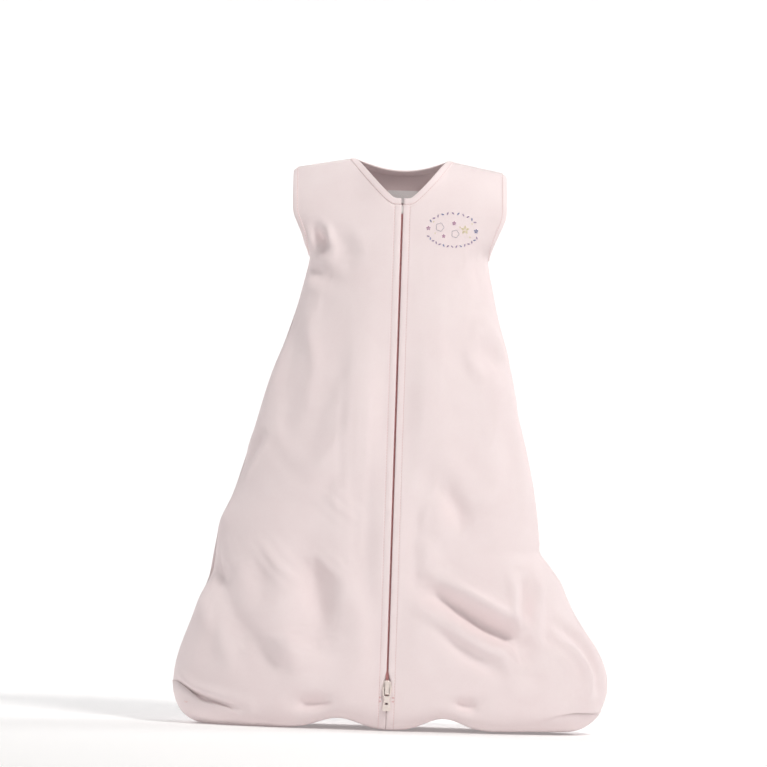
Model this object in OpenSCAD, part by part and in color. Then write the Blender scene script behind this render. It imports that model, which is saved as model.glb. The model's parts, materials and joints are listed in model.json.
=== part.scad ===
// Baby sleeping bag: a sleeveless wearable blanket in its filled, worn shape, standing on its foot panel.
// Z is up, the front faces -Y, and left and right are the wearer's, so left is +X.
// The origin is the middle of the outline on the ground.
// The zip is inverted: its slider is at the foot when the bag is closed, and slides up to open it.

/* [Bag] */
// Height from the ground to the neck end of the shoulder seams
bag_h = 600; // [520:1:740]
// Greatest width, just above the foot
foot_w = 456; // [380:1:560]
// Overall depth at the foot, slider included
foot_d = 176; // [150:1:220]
// Height at which the bag is widest
foot_rise = 49; // [44:1:60]
// How far the lower corners curve in from the greatest width
foot_inset = 43; // [35:1:50]
// Height of the seam between the foot panel and the upright panels
seam_z = 25; // [22:1:32]
// How far the foot panel curls in under the hem, front and back
foot_curl = 20; // [12:1:26]
// Width at the wearer's knees
knee_w = 356; // [300:1:430]
// Width at the waist
waist_w = 262; // [220:1:320]
// Width at the armpits
armpit_w = 190; // [160:1:220]
// Depth of the front ahead of the side seams at the neck
neck_front_d = 50; // [42:1:60]
// Depth of the back behind the side seams at the waist
waist_back_d = 70; // [55:1:85]
// Depth of the back behind the side seams at the shoulder blades
chest_back_d = 56; // [45:1:65]
// Thickness of the cloth shell, as it stands in this solid model
cloth_t = 2; // [1.2:0.1:2.6]

/* [Neck, shoulders and armholes] */
// Width across the shoulder tips
shoulder_w = 216; // [190:1:250]
// How far the shoulder seams fall from neck to tip
shoulder_drop = 10; // [4:1:20]
// Width of the neck opening
neck_w = 108; // [90:1:130]
// Depth of the front neckline below the shoulder seams
neck_drop = 47; // [35:1:60]
// Depth of the back neckline below the shoulder seams
neck_back_drop = 14; // [8:1:22]
// Height of each armhole
armhole_h = 93; // [80:1:115]
// Depth of each armhole, front to back
armhole_d = 76; // [60:1:84]
// Radius of the rolled binding
bind_r = 2.2; // [1.6:0.1:2.4]

/* [Zip] */
// Width of one zip tape, from the coil outward
tape_w = 10.5; // [8:0.5:14]
// Thickness of the zip tape
tape_t = 0.6; // [0.4:0.1:0.9]
// Width of one coil
coil_w = 2.5; // [2:0.1:3]
// Thickness of the coil
coil_t = 2.4; // [1.8:0.1:2.8]
// Gap between the two coils, which the slider's post runs in
coil_gap = 1.8; // [1.6:0.1:2.2]
// Gap between the two folded edges over the coils
fold_gap = 2.2; // [1.8:0.1:3]
// Distance of the folded edge's outer line from the zip's middle
fold_w = 10; // [9.5:0.5:13]
// Thickness of the folded edge over the coil
fold_t = 1.6; // [1.2:0.1:2]
// Distance of the topstitching from the zip's middle
stitch_x = 8; // [7.5:0.5:9]
// Length of the retaining box at the neck end
box_l = 8; // [6:0.5:12]
// Length of the end stops at the foot end
stop_l = 3; // [2:0.5:4]

/* [Slider] */
// Width of the slider's plates
slider_w = 9.7; // [9:0.1:12]
// Length of the slider's plates
slider_l = 15; // [13:0.5:18]
// Thickness of each plate
plate_t = 1.2; // [0.9:0.1:1.6]
// Height of the slider's middle above the ground when the bag is closed
slider_z = 46; // [44:1:60]
// Width of the cap over the lock spring
cap_w = 4.2; // [3.6:0.1:4.6]
// Height of the cap above the plate
cap_h = 3.5; // [3.3:0.1:4]
// Thickness of the pull tab
tab_t = 1.2; // [0.8:0.1:1.4]
// Length of the pull tab below its pivot
tab_l = 24.5; // [20:0.5:26]
// Radius of the pull tab's pivot bar
pivot_r = 0.6; // [0.5:0.05:0.7]

/* [Trim] */
// Width of the seam allowances inside
allowance_w = 5; // [4:0.5:7]
// Width of the embroidered oval
motif_w = 62; // [50:1:70]
// Height of the embroidered oval
motif_h = 38; // [30:1:44]
// Radius of one embroidered flower
flower_r = 3.4; // [2.5:0.1:4]

/* [Hidden] */
$fn = 32;

run_gap = 0.3;      // between the slider and what it runs past
air = 0.4;          // between pieces that lie side by side
thin = 0.3;         // thread and label thickness
sharp = 0.8;        // exponent of the cross-section: 1 is an ellipse, less is fuller
round_drop = 75;    // the shoulders round over within this height of the top
round_pow = 2.5;    // exponent of that rounding
neck_pow = 1.2;     // exponent of the front neckline's curve
row_pow = 1.6;      // rows of the panel grid crowd towards the top
near = 0.5;         // step for slopes

// Heights
armpit_z = bag_h - shoulder_drop - armhole_h;
armhole_z = armpit_z + armhole_h / 2;
shoulder_z = bag_h - shoulder_drop;
waist_z = foot_rise + 0.672 * (armpit_z - foot_rise);
knee_z = foot_rise + 0.295 * (armpit_z - foot_rise);
neck_z = bag_h - neck_drop;

// Zip section: distances outward from the middle of the tape
coil_out = coil_t / 2;
fold_in = coil_out + air;
fold_out = fold_in + fold_t;
plate_in = fold_out + run_gap;
plate_out = plate_in + plate_t;
pivot_v = plate_out + 1.3;
cap_out = plate_out + cap_h;
under_in = coil_out + air;
under_out = under_in + plate_t + 0.2;
coil_in_x = coil_gap / 2;
coil_out_x = coil_in_x + coil_w;

// Front line of the outer cloth, leaning back from hem to neck
hem_y = cap_out - fold_out - foot_d / 2;
lean = atan((-neck_front_d - hem_y) / (neck_z - seam_z));
zip_l = (neck_z - seam_z) / cos(lean);

// Places along the zip
slider_u = (slider_z - seam_z) / cos(lean);
stop_top = slider_u - slider_l / 2 - run_gap;
box_u = zip_l - box_l - 1;
post_w = coil_gap - 0.7;

side_line = [[foot_rise, foot_w / 2], [knee_z, knee_w / 2], [waist_z, waist_w / 2],
    [armpit_z, armpit_w / 2], [armhole_z, shoulder_w / 2]];
back_line = [[0, foot_d / 2 - foot_curl], [seam_z, foot_d / 2 - 1], [foot_rise * 1.5, foot_d / 2],
    [waist_z, waist_back_d], [armhole_z, chest_back_d], [bag_h, chest_back_d - 6]];

function mix(a, b, k) = a + (b - a) * k;
function clamp01(k) = max(0, min(1, k));
function smooth(k) = let(c = clamp01(k)) c * c * (3 - 2 * c);
function unit(v) = v / max(norm(v), 1e-9);

// Smooth curve through [z, value] points: a cubic through each pair, level at the first
function slope(p, i) = i == 0 ? 0
    : i == len(p) - 1 ? (p[i][1] - p[i - 1][1]) / (p[i][0] - p[i - 1][0])
    : (p[i + 1][1] - p[i - 1][1]) / (p[i + 1][0] - p[i - 1][0]);
function part_of(p, z, i = 0) = i >= len(p) - 2 || z < p[i + 1][0] ? i : part_of(p, z, i + 1);
function curve_at(p, z) =
    z <= p[0][0] ? p[0][1] : z >= p[len(p) - 1][0] ? p[len(p) - 1][1]
    : let(i = part_of(p, z), h = p[i + 1][0] - p[i][0], k = (z - p[i][0]) / h)
        (1 - 3 * k * k + 2 * k * k * k) * p[i][1] + (3 * k * k - 2 * k * k * k) * p[i + 1][1]
        + (k - 2 * k * k + k * k * k) * h * slope(p, i) + (k * k * k - k * k) * h * slope(p, i + 1);
// Quarter ellipse from 1 at the ground to 0 at height h
function curl(z, h) = 1 - sqrt(1 - pow(1 - clamp01(z / h), 2));

// Outline of the bag: half width, and how far front and back lie from the side seams
function half_w(z) = z < foot_rise ? foot_w / 2 - foot_inset * curl(z, foot_rise) : curve_at(side_line, z);
function front_d(z) = z < seam_z ? -hem_y - foot_curl * curl(z, seam_z)
    : -hem_y - (z - seam_z) * tan(lean);
function back_d(z) = z < seam_z ? foot_d / 2 - 1 - foot_curl * curl(z, seam_z)
    : curve_at(back_line, z);

// Height at which front and back close over the shoulder, and the roll of the cloth towards it
function close_z(x) = x <= neck_w / 2 ? bag_h
    : bag_h - shoulder_drop * (x - neck_w / 2) / ((shoulder_w - neck_w) / 2);
function roll(x, z) = let(from = bag_h - round_drop)
    sqrt(1 - pow(clamp01((z - from) / (close_z(x) - from)), round_pow));
function edge_y(z) = z <= armpit_z || z >= shoulder_z ? 0
    : armhole_d / 2 * sqrt(max(0, 1 - pow((z - armhole_z) / (armhole_h / 2), 2)));
// Depth of the cloth from the side seams at (x, z); d is the depth in the middle and x0 the flat's half width
function depth(x, z, d, x0) = let(
    top = pow(edge_y(z) / d, 1 / sharp), reach = sqrt(1 - top * top),
    k = clamp01((x - x0) / (half_w(z) - x0)) * reach)
    d * pow(sqrt(max(0, 1 - k * k)), sharp);
function front_y(x, z) = -depth(x, z, front_d(z), fold_w)
    * mix(1, roll(x, z), smooth((x - fold_w) / (neck_w / 2 - fold_w)));
function back_y(x, z) = depth(x, z, back_d(z), 0) * roll(x, z);

// Necklines of the panels, below which they end
function front_top(x) = x >= neck_w / 2 ? close_z(x)
    : neck_z + neck_drop * pow(max(0, (x - fold_w) / (neck_w / 2 - fold_w)), neck_pow);
function back_top(x) = x >= neck_w / 2 ? close_z(x)
    : bag_h - neck_back_drop * (1 - pow(x / (neck_w / 2), 2));

// Columns of the panel grid: a few to the neck end of the shoulder seam, the rest beyond it
neck_cols = 6;
side_cols = 10;
rows = 30;
neck_g = (neck_w / 2 - fold_w) / (shoulder_w / 2 - fold_w);
function col_x(c, z, x0) =
    c <= neck_cols ? mix(x0, fold_w + (half_w(z) - fold_w) * neck_g, c / neck_cols)
    : let(a = asin(neck_g), s = mix(a, 90, (c - neck_cols) / side_cols))
        fold_w + (half_w(z) - fold_w) * sin(s);
function row_z(r, top) = mix(seam_z, top, 1 - pow(1 - r / rows, row_pow));
function panel_point(c, r, back, x0) = let(
    top = back ? back_top(col_x(c, bag_h, x0)) : front_top(col_x(c, bag_h, x0)),
    z = row_z(r, top), x = col_x(c, z, x0))
    [x, back ? back_y(x, z) : front_y(x, z), z];

// Outward direction at a grid point, level across the seams so that both sides meet there
function panel_normal(g, c, r, back) = let(
    n = len(g) - 1, m = len(g[0]) - 1,
    along = g[min(c + 1, n)][r] - g[max(c - 1, 0)][r],
    up = g[c][min(r + 1, m)] - g[c][max(r - 1, 0)],
    raw = back ? cross(up, along) : cross(along, up),
    at_shoulder = r == m && (c == n || g[c][r][0] >= neck_w / 2 - 0.01),
    seam = at_shoulder || (c == n && g[c][r][2] <= armpit_z),
    v = c == 0 ? [0, raw[1], raw[2]] : seam ? [raw[0], 0, raw[2]] : raw)
    unit(v);

// Closed shell between an outer grid of points and an inner one, both indexed [column][row]
module shell(outer, inner, flip = false) {
    n = len(outer);
    m = len(outer[0]);
    function at(c, r, s) = s * n * m + c * m + r;
    function quad(a, b, c, d) = flip ? [[a, c, b], [a, d, c]] : [[a, b, c], [a, c, d]];
    points = [for (g = [outer, inner]) for (col = g) for (p = col) p];
    faces = [
        for (c = [0:n - 2]) for (r = [0:m - 2]) for (s = [0, 1])
            for (t = s == 0 ? quad(at(c, r, 0), at(c, r + 1, 0), at(c + 1, r + 1, 0), at(c + 1, r, 0))
                            : quad(at(c, r, 1), at(c + 1, r, 1), at(c + 1, r + 1, 1), at(c, r + 1, 1))) t,
        for (c = [0:n - 2]) for (t = concat(
            quad(at(c, 0, 0), at(c + 1, 0, 0), at(c + 1, 0, 1), at(c, 0, 1)),
            quad(at(c, m - 1, 0), at(c, m - 1, 1), at(c + 1, m - 1, 1), at(c + 1, m - 1, 0)))) t,
        for (r = [0:m - 2]) for (t = concat(
            quad(at(0, r, 0), at(0, r, 1), at(0, r + 1, 1), at(0, r + 1, 0)),
            quad(at(n - 1, r, 0), at(n - 1, r + 1, 0), at(n - 1, r + 1, 1), at(n - 1, r, 1)))) t];
    polyhedron(points, faces, convexity = 8);
}

// Tube of radius r along a path of points; ref is a direction that the path never runs along
module tube(path, r, ref, closed = false, sides = 8) {
    n = len(path);
    function dir(i) = closed ? unit(path[(i + 1) % n] - path[(i + n - 1) % n])
        : unit(path[min(i + 1, n - 1)] - path[max(i - 1, 0)]);
    rings = [for (i = [0:n - 1]) let(t = dir(i), a = unit(cross(t, ref)), b = cross(t, a))
        for (k = [0:sides - 1]) path[i] + r * (a * cos(k * 360 / sides) + b * sin(k * 360 / sides))];
    spans = closed ? n - 1 : n - 2;
    faces = concat(
        [for (i = [0:spans]) for (k = [0:sides - 1]) let(j = (i + 1) % n, l = (k + 1) % sides)
            for (t = [[i * sides + k, i * sides + l, j * sides + l],
                [i * sides + k, j * sides + l, j * sides + k]]) t],
        closed ? [] : [[for (k = [sides - 1:-1:0]) k], [for (k = [0:sides - 1]) (n - 1) * sides + k]]);
    turned = [for (f = faces) [for (i = [len(f) - 1:-1:0]) f[i]]];
    polyhedron(rings, turned, convexity = 8);
}

// Frame of the zip: x across, -y outward from the tape, z up along it from the hem
module on_zip() {
    translate([0, hem_y + fold_out * cos(lean), seam_z - fold_out * sin(lean)])
        rotate([-lean, 0, 0]) children();
}
// Block in the zip's frame: x and u from and to, v outward from and to
module zip_block(x, v, u) {
    on_zip() translate([x[0], -v[1], u[0]]) cube([x[1] - x[0], v[1] - v[0], u[1] - u[0]]);
}
// Plate in the zip's frame, cut from a flat outline drawn in x and u
module zip_plate(v) {
    on_zip() translate([0, -v[0], 0]) rotate([90, 0, 0]) linear_extrude(v[1] - v[0]) children();
}
module sides_of(left) {
    if (left) children(); else mirror([1, 0, 0]) children();
}

module front_panel(left) {
    outer = [for (c = [0:neck_cols + side_cols]) [for (r = [0:rows]) panel_point(c, r, false, fold_w)]];
    inner = [for (c = [0:neck_cols + side_cols]) [for (r = [0:rows])
        outer[c][r] - cloth_t * panel_normal(outer, c, r, false)]];
    color("mistyrose") sides_of(left) shell(outer, [for (c = inner) [for (r = [0:rows])
        r == 0 ? [c[r][0], c[r][1], seam_z] : c[r]]]);
}
module front_panel_left() { front_panel(true); }
module front_panel_right() { front_panel(false); }

module back_panel() {
    half = [for (c = [0:neck_cols + side_cols]) [for (r = [0:rows]) panel_point(c, r, true, 0)]];
    inner_half = [for (c = [0:neck_cols + side_cols]) [for (r = [0:rows]) let(
        p = half[c][r] - cloth_t * panel_normal(half, c, r, true))
        r == 0 ? [p[0], p[1], seam_z] : p]];
    last = neck_cols + side_cols;
    function both(h) = concat([for (c = [last:-1:1]) [for (p = h[c]) [-p[0], p[1], p[2]]]], h);
    color("mistyrose") shell(both(half), both(inner_half), true);
}

// Ring of the foot at height z, going round; inset shrinks it
ring_steps = 72;
function foot_ring(z, inset) = [for (i = [0:ring_steps - 1]) let(
    a = i * 360 / ring_steps, w = half_w(z) - inset,
    d = (sin(a) < 0 ? front_d(z) : back_d(z)) - inset)
    [w * cos(a), d * sign(sin(a)) * pow(abs(sin(a)), sharp)]];
wall_steps = 6;
module foot_panel() {
    heights = [for (k = [0:wall_steps]) seam_z * (1 - cos(90 * k / wall_steps))];
    n = ring_steps;
    m = wall_steps + 1;
    outer = [for (z = heights) [for (p = foot_ring(z, 0)) [p[0], p[1], z]]];
    // The inner wall keeps the cloth's thickness: upward at the ground, inward at the seam
    inner = [for (k = [0:wall_steps]) let(a = 90 * k / wall_steps, z = heights[k])
        [for (p = foot_ring(z, cloth_t * sin(a))) [p[0], p[1], min(seam_z, z + cloth_t * cos(a))]]];
    function at(k, i, s) = s * n * m + k * n + i % n;
    faces = [
        for (k = [0:m - 2]) for (i = [0:n - 1]) for (t = [
            [at(k, i, 0), at(k + 1, i + 1, 0), at(k, i + 1, 0)],
            [at(k, i, 0), at(k + 1, i, 0), at(k + 1, i + 1, 0)],
            [at(k, i, 1), at(k, i + 1, 1), at(k + 1, i + 1, 1)],
            [at(k, i, 1), at(k + 1, i + 1, 1), at(k + 1, i, 1)]]) t,
        for (i = [0:n - 1]) for (t = [
            [at(m - 1, i, 0), at(m - 1, i, 1), at(m - 1, i + 1, 1)],
            [at(m - 1, i, 0), at(m - 1, i + 1, 1), at(m - 1, i + 1, 0)],
            [at(0, i, 0), at(0, i + 1, 1), at(0, i, 1)], [at(0, i, 0), at(0, i + 1, 0), at(0, i + 1, 1)]]) t];
    color("mistyrose") {
        polyhedron([for (g = [outer, inner]) for (row = g) for (p = row) p], faces, convexity = 8);
        linear_extrude(cloth_t) polygon(foot_ring(0, 0));
    }
}

// The front panel's own edge, turned under and stitched down over the zip
module placket(left) {
    section = [[fold_gap / 2, fold_in], [fold_gap / 2, fold_out - 0.4], [fold_gap / 2 + 0.4, fold_out],
        [fold_w, fold_out], [fold_w, tape_t / 2],
        [coil_out_x + air, tape_t / 2], [coil_out_x + air, fold_in]];
    color("lavenderblush") sides_of(left) on_zip() translate([0, 0, 1])
        linear_extrude(zip_l - 1) polygon([for (p = section) [p[0], -p[1]]]);
}
module placket_left() { placket(true); }
module placket_right() { placket(false); }

module zip_tape(left) {
    color("pink") sides_of(left)
        zip_block([coil_out_x, coil_out_x + tape_w], [-tape_t / 2, tape_t / 2], [1, zip_l]);
}
module zip_tape_left() { zip_tape(true); }
module zip_tape_right() { zip_tape(false); }

module zip_coil(left) {
    color("lightpink") sides_of(left)
        zip_block([coil_in_x, coil_out_x], [-coil_out, coil_out], [stop_top, box_u]);
}
module zip_coil_left() { zip_coil(true); }
module zip_coil_right() { zip_coil(false); }

// Retaining box at the neck, fixed to one tape; the other tape's pin goes into its slot
pin_t = 1.6;
module zip_box() {
    color("white") difference() {
        zip_block([-coil_out_x, coil_out_x], [-coil_out - 0.9, fold_in - 0.15], [box_u, box_u + box_l]);
        zip_block([-coil_in_x - pin_t - 0.3, -coil_in_x + 0.3], [-pin_t / 2 - 0.3, pin_t / 2 + 0.3],
            [box_u - 1, box_u + box_l + 1]);
    }
}
module zip_pin() {
    color("whitesmoke")
        zip_block([-coil_in_x - pin_t, -coil_in_x], [-pin_t / 2, pin_t / 2], [box_u, box_u + box_l]);
}
module zip_end_stops() {
    color("white") for (s = [true, false]) sides_of(s)
        zip_block([coil_in_x, coil_out_x], [-coil_out - 0.2, fold_in - 0.1], [stop_top - stop_l, stop_top]);
}

// Outline of the slider's plates in x and u, about the slider's middle
module slider_outline() {
    w = slider_w / 2;
    l = slider_l / 2;
    half = [[w * 0.66, -l], [w, -l * 0.5], [w, l * 0.2], [w * 0.72, l * 0.84], [w * 0.4, l]];
    other = [for (i = [len(half) - 1:-1:0]) [-half[i][0], half[i][1]]];
    translate([0, slider_u]) polygon(concat(half, other));
}
cap_span = slider_l / 2 - 2.8;   // half length of the hollow under the cap
cap_wall = 0.9;
spring_t = 0.25;
spring_w = 1.6;
spring_v = cap_out - 1.3;
pawl_w = 0.9;                    // width of the spring's bent end
pawl_u = cap_span - 0.8;
module slider_body() {
    color("antiquewhite") difference() {
        union() {
            zip_plate([plate_in, plate_out]) slider_outline();
            zip_plate([-under_out, -under_in]) slider_outline();
            // The post that joins the plates and parts the coils
            zip_plate([-under_out, plate_out]) translate([0, slider_u - slider_l / 2])
                polygon([[0, 0.6], [post_w / 2, 2.4], [post_w / 2, 4.4], [0, 6.2],
                    [-post_w / 2, 4.4], [-post_w / 2, 2.4]]);
        }
        // Hole for the spring's bent end
        zip_block([-pawl_w, pawl_w], [plate_in - 1, plate_out + 1],
            [slider_u + pawl_u - 0.5, slider_u + pawl_u + spring_t + 0.45]);
    }
}
// Arched cap over the lock spring and the pull tab's pivot bar
module slider_cap() {
    l = slider_l / 2;
    under = cap_out - cap_wall;
    profile = [[-l, plate_out], [-l + 0.4, under], [-l + 1.8, cap_out], [l - 1.8, cap_out], [l - 0.4, under],
        [l, plate_out], [cap_span, plate_out], [cap_span, under], [-cap_span, under], [-cap_span, plate_out]];
    color("ivory") on_zip() translate([-cap_w / 2, 0, slider_u]) rotate([90, 0, 90])
        linear_extrude(cap_w) polygon([for (p = profile) [-p[1], p[0]]]);
}
// Leaf spring under the cap, whose bent end reaches down between the folds to lock the slider
module lock_spring() {
    color("silver") {
        zip_block([-spring_w / 2, spring_w / 2], [spring_v, spring_v + spring_t],
            [slider_u - cap_span + air, slider_u + pawl_u + spring_t]);
        zip_block([-pawl_w / 2, pawl_w / 2], [coil_out + 0.6, spring_v + spring_t / 2],
            [slider_u + pawl_u, slider_u + pawl_u + spring_t]);
    }
}
pivot_u = slider_u - 0.2;
window_w = cap_w + 1.3;      // the loop swings round the cap
tab_top = slider_w * 0.46;   // half width at the pivot
tab_waist = 3.1;             // half width where the loop meets the grip
tab_grip = 4.2;              // half width at the grip's end
slot_w = 3.8;
slot_u = [-17.8, -15.8];     // the grip's slot, from the pivot
module pull_tab() {
    half = [[tab_top, 0], [slider_w * 0.48, -3], [slider_w * 0.4, -8], [tab_waist, -12],
        [tab_waist + 0.2, -15.5], [tab_grip, -tab_l + 3], [tab_grip, -tab_l + 1], [tab_grip - 0.8, -tab_l]];
    other = [for (i = [len(half) - 1:-1:0]) [-half[i][0], half[i][1]]];
    through = [pivot_v - tab_t, pivot_v + tab_t];
    color("antiquewhite") {
        difference() {
            zip_plate([pivot_v - tab_t / 2, pivot_v + tab_t / 2]) translate([0, pivot_u])
                polygon(concat(half, other));
            zip_block([-window_w / 2, window_w / 2], through, [pivot_u - slider_l / 2 - 1.6, pivot_u + 1]);
            zip_block([-slot_w / 2, slot_w / 2], through, [pivot_u + slot_u[0], pivot_u + slot_u[1]]);
        }
        on_zip() translate([-tab_top, -pivot_v, pivot_u]) rotate([0, 90, 0])
            cylinder(r = pivot_r, h = 2 * tab_top);
    }
}

// Rolled binding round the neck, open at the zip
bind_in = bind_r + 1.3;
module neck_binding() {
    steps = 12;
    x1 = neck_w / 2 - bind_in - 1.6;
    x_start = fold_gap / 2 + 0.4;
    front = [for (i = [0:steps - 1]) let(a = 90 * i / steps, x = mix(x_start, x1, sin(a)),
        k = max(0, (x - fold_w) / (x1 - fold_w)),
        z = neck_z + bind_in + (neck_drop - bind_in) * pow(k, neck_pow))
        [x, front_y(x, min(z, bag_h - near)) + cloth_t / 2, z - cloth_t / 2 * k]];
    back = [for (i = [0:steps]) let(x = x1 * cos(90 * i / steps), k = x / x1,
        z = bag_h - neck_back_drop * (1 - k * k) + bind_in * sqrt(1 - k * k))
        [x, back_y(x, min(bag_h - near, z)) - cloth_t / 2 * (1 - k), z - cloth_t / 2 * k]];
    half = concat(front, back);
    other = [for (i = [len(half) - 2:-1:0]) [-half[i][0], half[i][1], half[i][2]]];
    color("mistyrose") tube(concat(half, other), bind_r, [0, 0, 1]);
}

module armhole_binding(left) {
    steps = 32;
    inward = bind_r + 0.9;   // the binding runs inside the panels' edge
    outside = 1.8;
    path = [for (i = [0:steps - 1]) let(a = i * 360 / steps - 90, z = armhole_z + armhole_h / 2 * sin(a),
        x = half_w(z), y = cos(a) < 0 ? front_y(x, z) : back_y(x, z))
        [x + outside, y * (1 - 2 * inward / armhole_d), mix(z, armhole_z, 2 * inward / armhole_h)]];
    color("mistyrose") sides_of(left) tube(path, bind_r, [1, 0, 0], true);
}
module armhole_binding_left() { armhole_binding(true); }
module armhole_binding_right() { armhole_binding(false); }

// Stay tape under each shoulder seam
module shoulder_tape(left) {
    fall = atan(shoulder_drop / ((shoulder_w - neck_w) / 2));
    color("white") sides_of(left)
        translate([neck_w / 2 + 2, -allowance_w / 2, bag_h - cloth_t - 2.6]) rotate([0, fall, 0])
            cube([(shoulder_w - neck_w) / 2 - 8, allowance_w, 0.8]);
}
module shoulder_tape_left() { shoulder_tape(true); }
module shoulder_tape_right() { shoulder_tape(false); }

// Overlocked allowance inside each side seam
module side_seam(left) {
    steps = 24;
    z0 = seam_z + 6;
    z1 = armpit_z - 6;
    out = cloth_t + 2.2;
    half_t = 0.8;
    strip = [for (x = [out, out + allowance_w]) [for (i = [0:steps]) let(z = mix(z0, z1, i / steps))
        [half_w(z) - x, -half_t, z]]];
    far = [for (col = strip) [for (p = col) [p[0], half_t, p[2]]]];
    color("lavenderblush") sides_of(left) shell(strip, far, true);
}
module side_seam_left() { side_seam(true); }
module side_seam_right() { side_seam(false); }

// Overlocked allowance inside the foot seam
module foot_seam() {
    z1 = seam_z - 0.6;
    drop = allowance_w;
    gap = cloth_t + 2.2;
    color("lavenderblush") translate([0, 0, z1 - drop]) linear_extrude(drop) difference() {
        polygon(foot_ring(z1 - drop, gap));
        polygon(foot_ring(z1 - drop, gap + 1.2));
    }
}

module topstitch(left) {
    color("mistyrose") sides_of(left)
        zip_block([stitch_x - thin, stitch_x + thin], [fold_out, fold_out + thin], [2, zip_l - 2]);
}
module topstitch_left() { topstitch(true); }
module topstitch_right() { topstitch(false); }

// Short dense rows of stitches beside the slider that hold the tape ends
module bar_tacks() {
    tack_w = 1;
    tack_step = 4;
    color("pink") for (s = [true, false]) sides_of(s) for (k = [0, 1])
        zip_block([slider_w / 2 + 0.3, stitch_x - 0.5], [fold_out, fold_out + thin],
            [slider_u - 10 - tack_step * k, slider_u - 10 + tack_w - tack_step * k]);
}

// Oval ring of small flowers and dots stitched on the wearer's left chest
module embroidery() {
    count = 12;
    cx = shoulder_w / 4 + 1;
    cz = armhole_z - 16;
    module on_chest(dx, dz, lift) {
        x = cx + dx;
        z = cz + dz;
        fx = (front_y(x + near, z) - front_y(x - near, z)) / (2 * near);
        fz = (front_y(x, z + near) - front_y(x, z - near)) / (2 * near);
        n = unit([fx, -1, fz]);
        translate([x, front_y(x, z), z] + n * lift)
            rotate([acos(n[2]), 0, atan2(n[1], n[0]) + 90]) children();
    }
    color("plum") for (i = [0:count - 1]) let(a = i * 360 / count)
        on_chest(motif_w / 2 * cos(a) * 0.9, motif_h / 2 * sin(a) * 0.9, 0.15)
            linear_extrude(thin) {
                if (i % 2 == 0) for (k = [0:4]) rotate(72 * k)
                    translate([flower_r * 0.55, 0]) circle(r = flower_r * 0.42, $fn = 12);
                if (i % 2 == 0) circle(r = flower_r * 0.4, $fn = 12);
                if (i % 2 == 1) circle(r = flower_r * 0.5, $fn = 12);
            }
}

// Blank woven size label inside the back neck
neck_label_size = [32, 14];
module neck_label() {
    z = bag_h - neck_back_drop - 30;
    tilt = atan((back_y(0, z + 10) - back_y(0, z - 4)) / 14);
    color("white") translate([-neck_label_size[0] / 2, back_y(0, z) - cloth_t - 2.4, z]) rotate([-tilt, 0, 0])
        cube([neck_label_size[0], thin, neck_label_size[1]]);
}
// Blank care label beside the left side seam's allowance
care_label_size = [24, 38];
module care_label() {
    z = waist_z - 60;
    color("white") translate([half_w(z) - cloth_t - allowance_w - care_label_size[0] - 6, 1.4, z])
        cube([care_label_size[0], thin, care_label_size[1]]);
}

front_panel_left();
front_panel_right();
back_panel();
foot_panel();
placket_left();
placket_right();
zip_tape_left();
zip_tape_right();
zip_coil_left();
zip_coil_right();
zip_box();
zip_pin();
zip_end_stops();
slider_body();
slider_cap();
lock_spring();
pull_tab();
neck_binding();
armhole_binding_left();
armhole_binding_right();
shoulder_tape_left();
shoulder_tape_right();
side_seam_left();
side_seam_right();
foot_seam();
topstitch_left();
topstitch_right();
bar_tacks();
embroidery();
neck_label();
care_label();
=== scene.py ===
# Baby sleeping bag: cotton jersey cloth, bindings, inverted zip and stitching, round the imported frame.
import json
import bpy
import numpy as np
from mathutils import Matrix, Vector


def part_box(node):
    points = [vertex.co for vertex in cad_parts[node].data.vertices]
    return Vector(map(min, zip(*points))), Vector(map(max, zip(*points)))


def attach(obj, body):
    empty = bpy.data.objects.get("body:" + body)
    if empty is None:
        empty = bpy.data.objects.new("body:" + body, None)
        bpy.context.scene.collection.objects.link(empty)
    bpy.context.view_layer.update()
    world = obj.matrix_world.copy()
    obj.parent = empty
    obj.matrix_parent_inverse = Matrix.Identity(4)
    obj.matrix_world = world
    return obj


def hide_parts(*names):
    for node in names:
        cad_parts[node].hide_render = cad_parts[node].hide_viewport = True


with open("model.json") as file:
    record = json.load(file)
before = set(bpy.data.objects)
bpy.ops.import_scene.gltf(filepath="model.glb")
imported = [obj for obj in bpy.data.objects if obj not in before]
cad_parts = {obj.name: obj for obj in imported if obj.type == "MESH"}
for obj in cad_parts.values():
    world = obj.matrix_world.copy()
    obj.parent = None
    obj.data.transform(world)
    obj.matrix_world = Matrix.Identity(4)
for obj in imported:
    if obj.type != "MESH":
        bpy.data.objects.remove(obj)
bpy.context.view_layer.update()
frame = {"nodes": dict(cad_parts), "record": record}
mm = 0.001


# ---- small sums used everywhere
def mix(a, b, k):
    return a + (b - a) * k


def smooth(k):
    # 0 below 0, 1 above 1, an S between
    c = np.clip(k, 0, 1)
    return c * c * (3 - 2 * c)


def unit(v):
    return v / np.maximum(np.linalg.norm(v, axis=-1, keepdims=True), 1e-12)


def bump(k, width=1.0):
    # bell of height 1 round k = 0
    return np.exp(-(k / width) ** 2)


def hermite(k, h, low, high, lowSlope, highSlope):
    # cubic over a step h, k of the way along it, from the values and slopes at its two ends
    return ((1 - 3 * k**2 + 2 * k**3) * low + (3 * k**2 - 2 * k**3) * high
            + (k - 2 * k**2 + k**3) * h * lowSlope + (k**3 - k**2) * h * highSlope)


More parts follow.
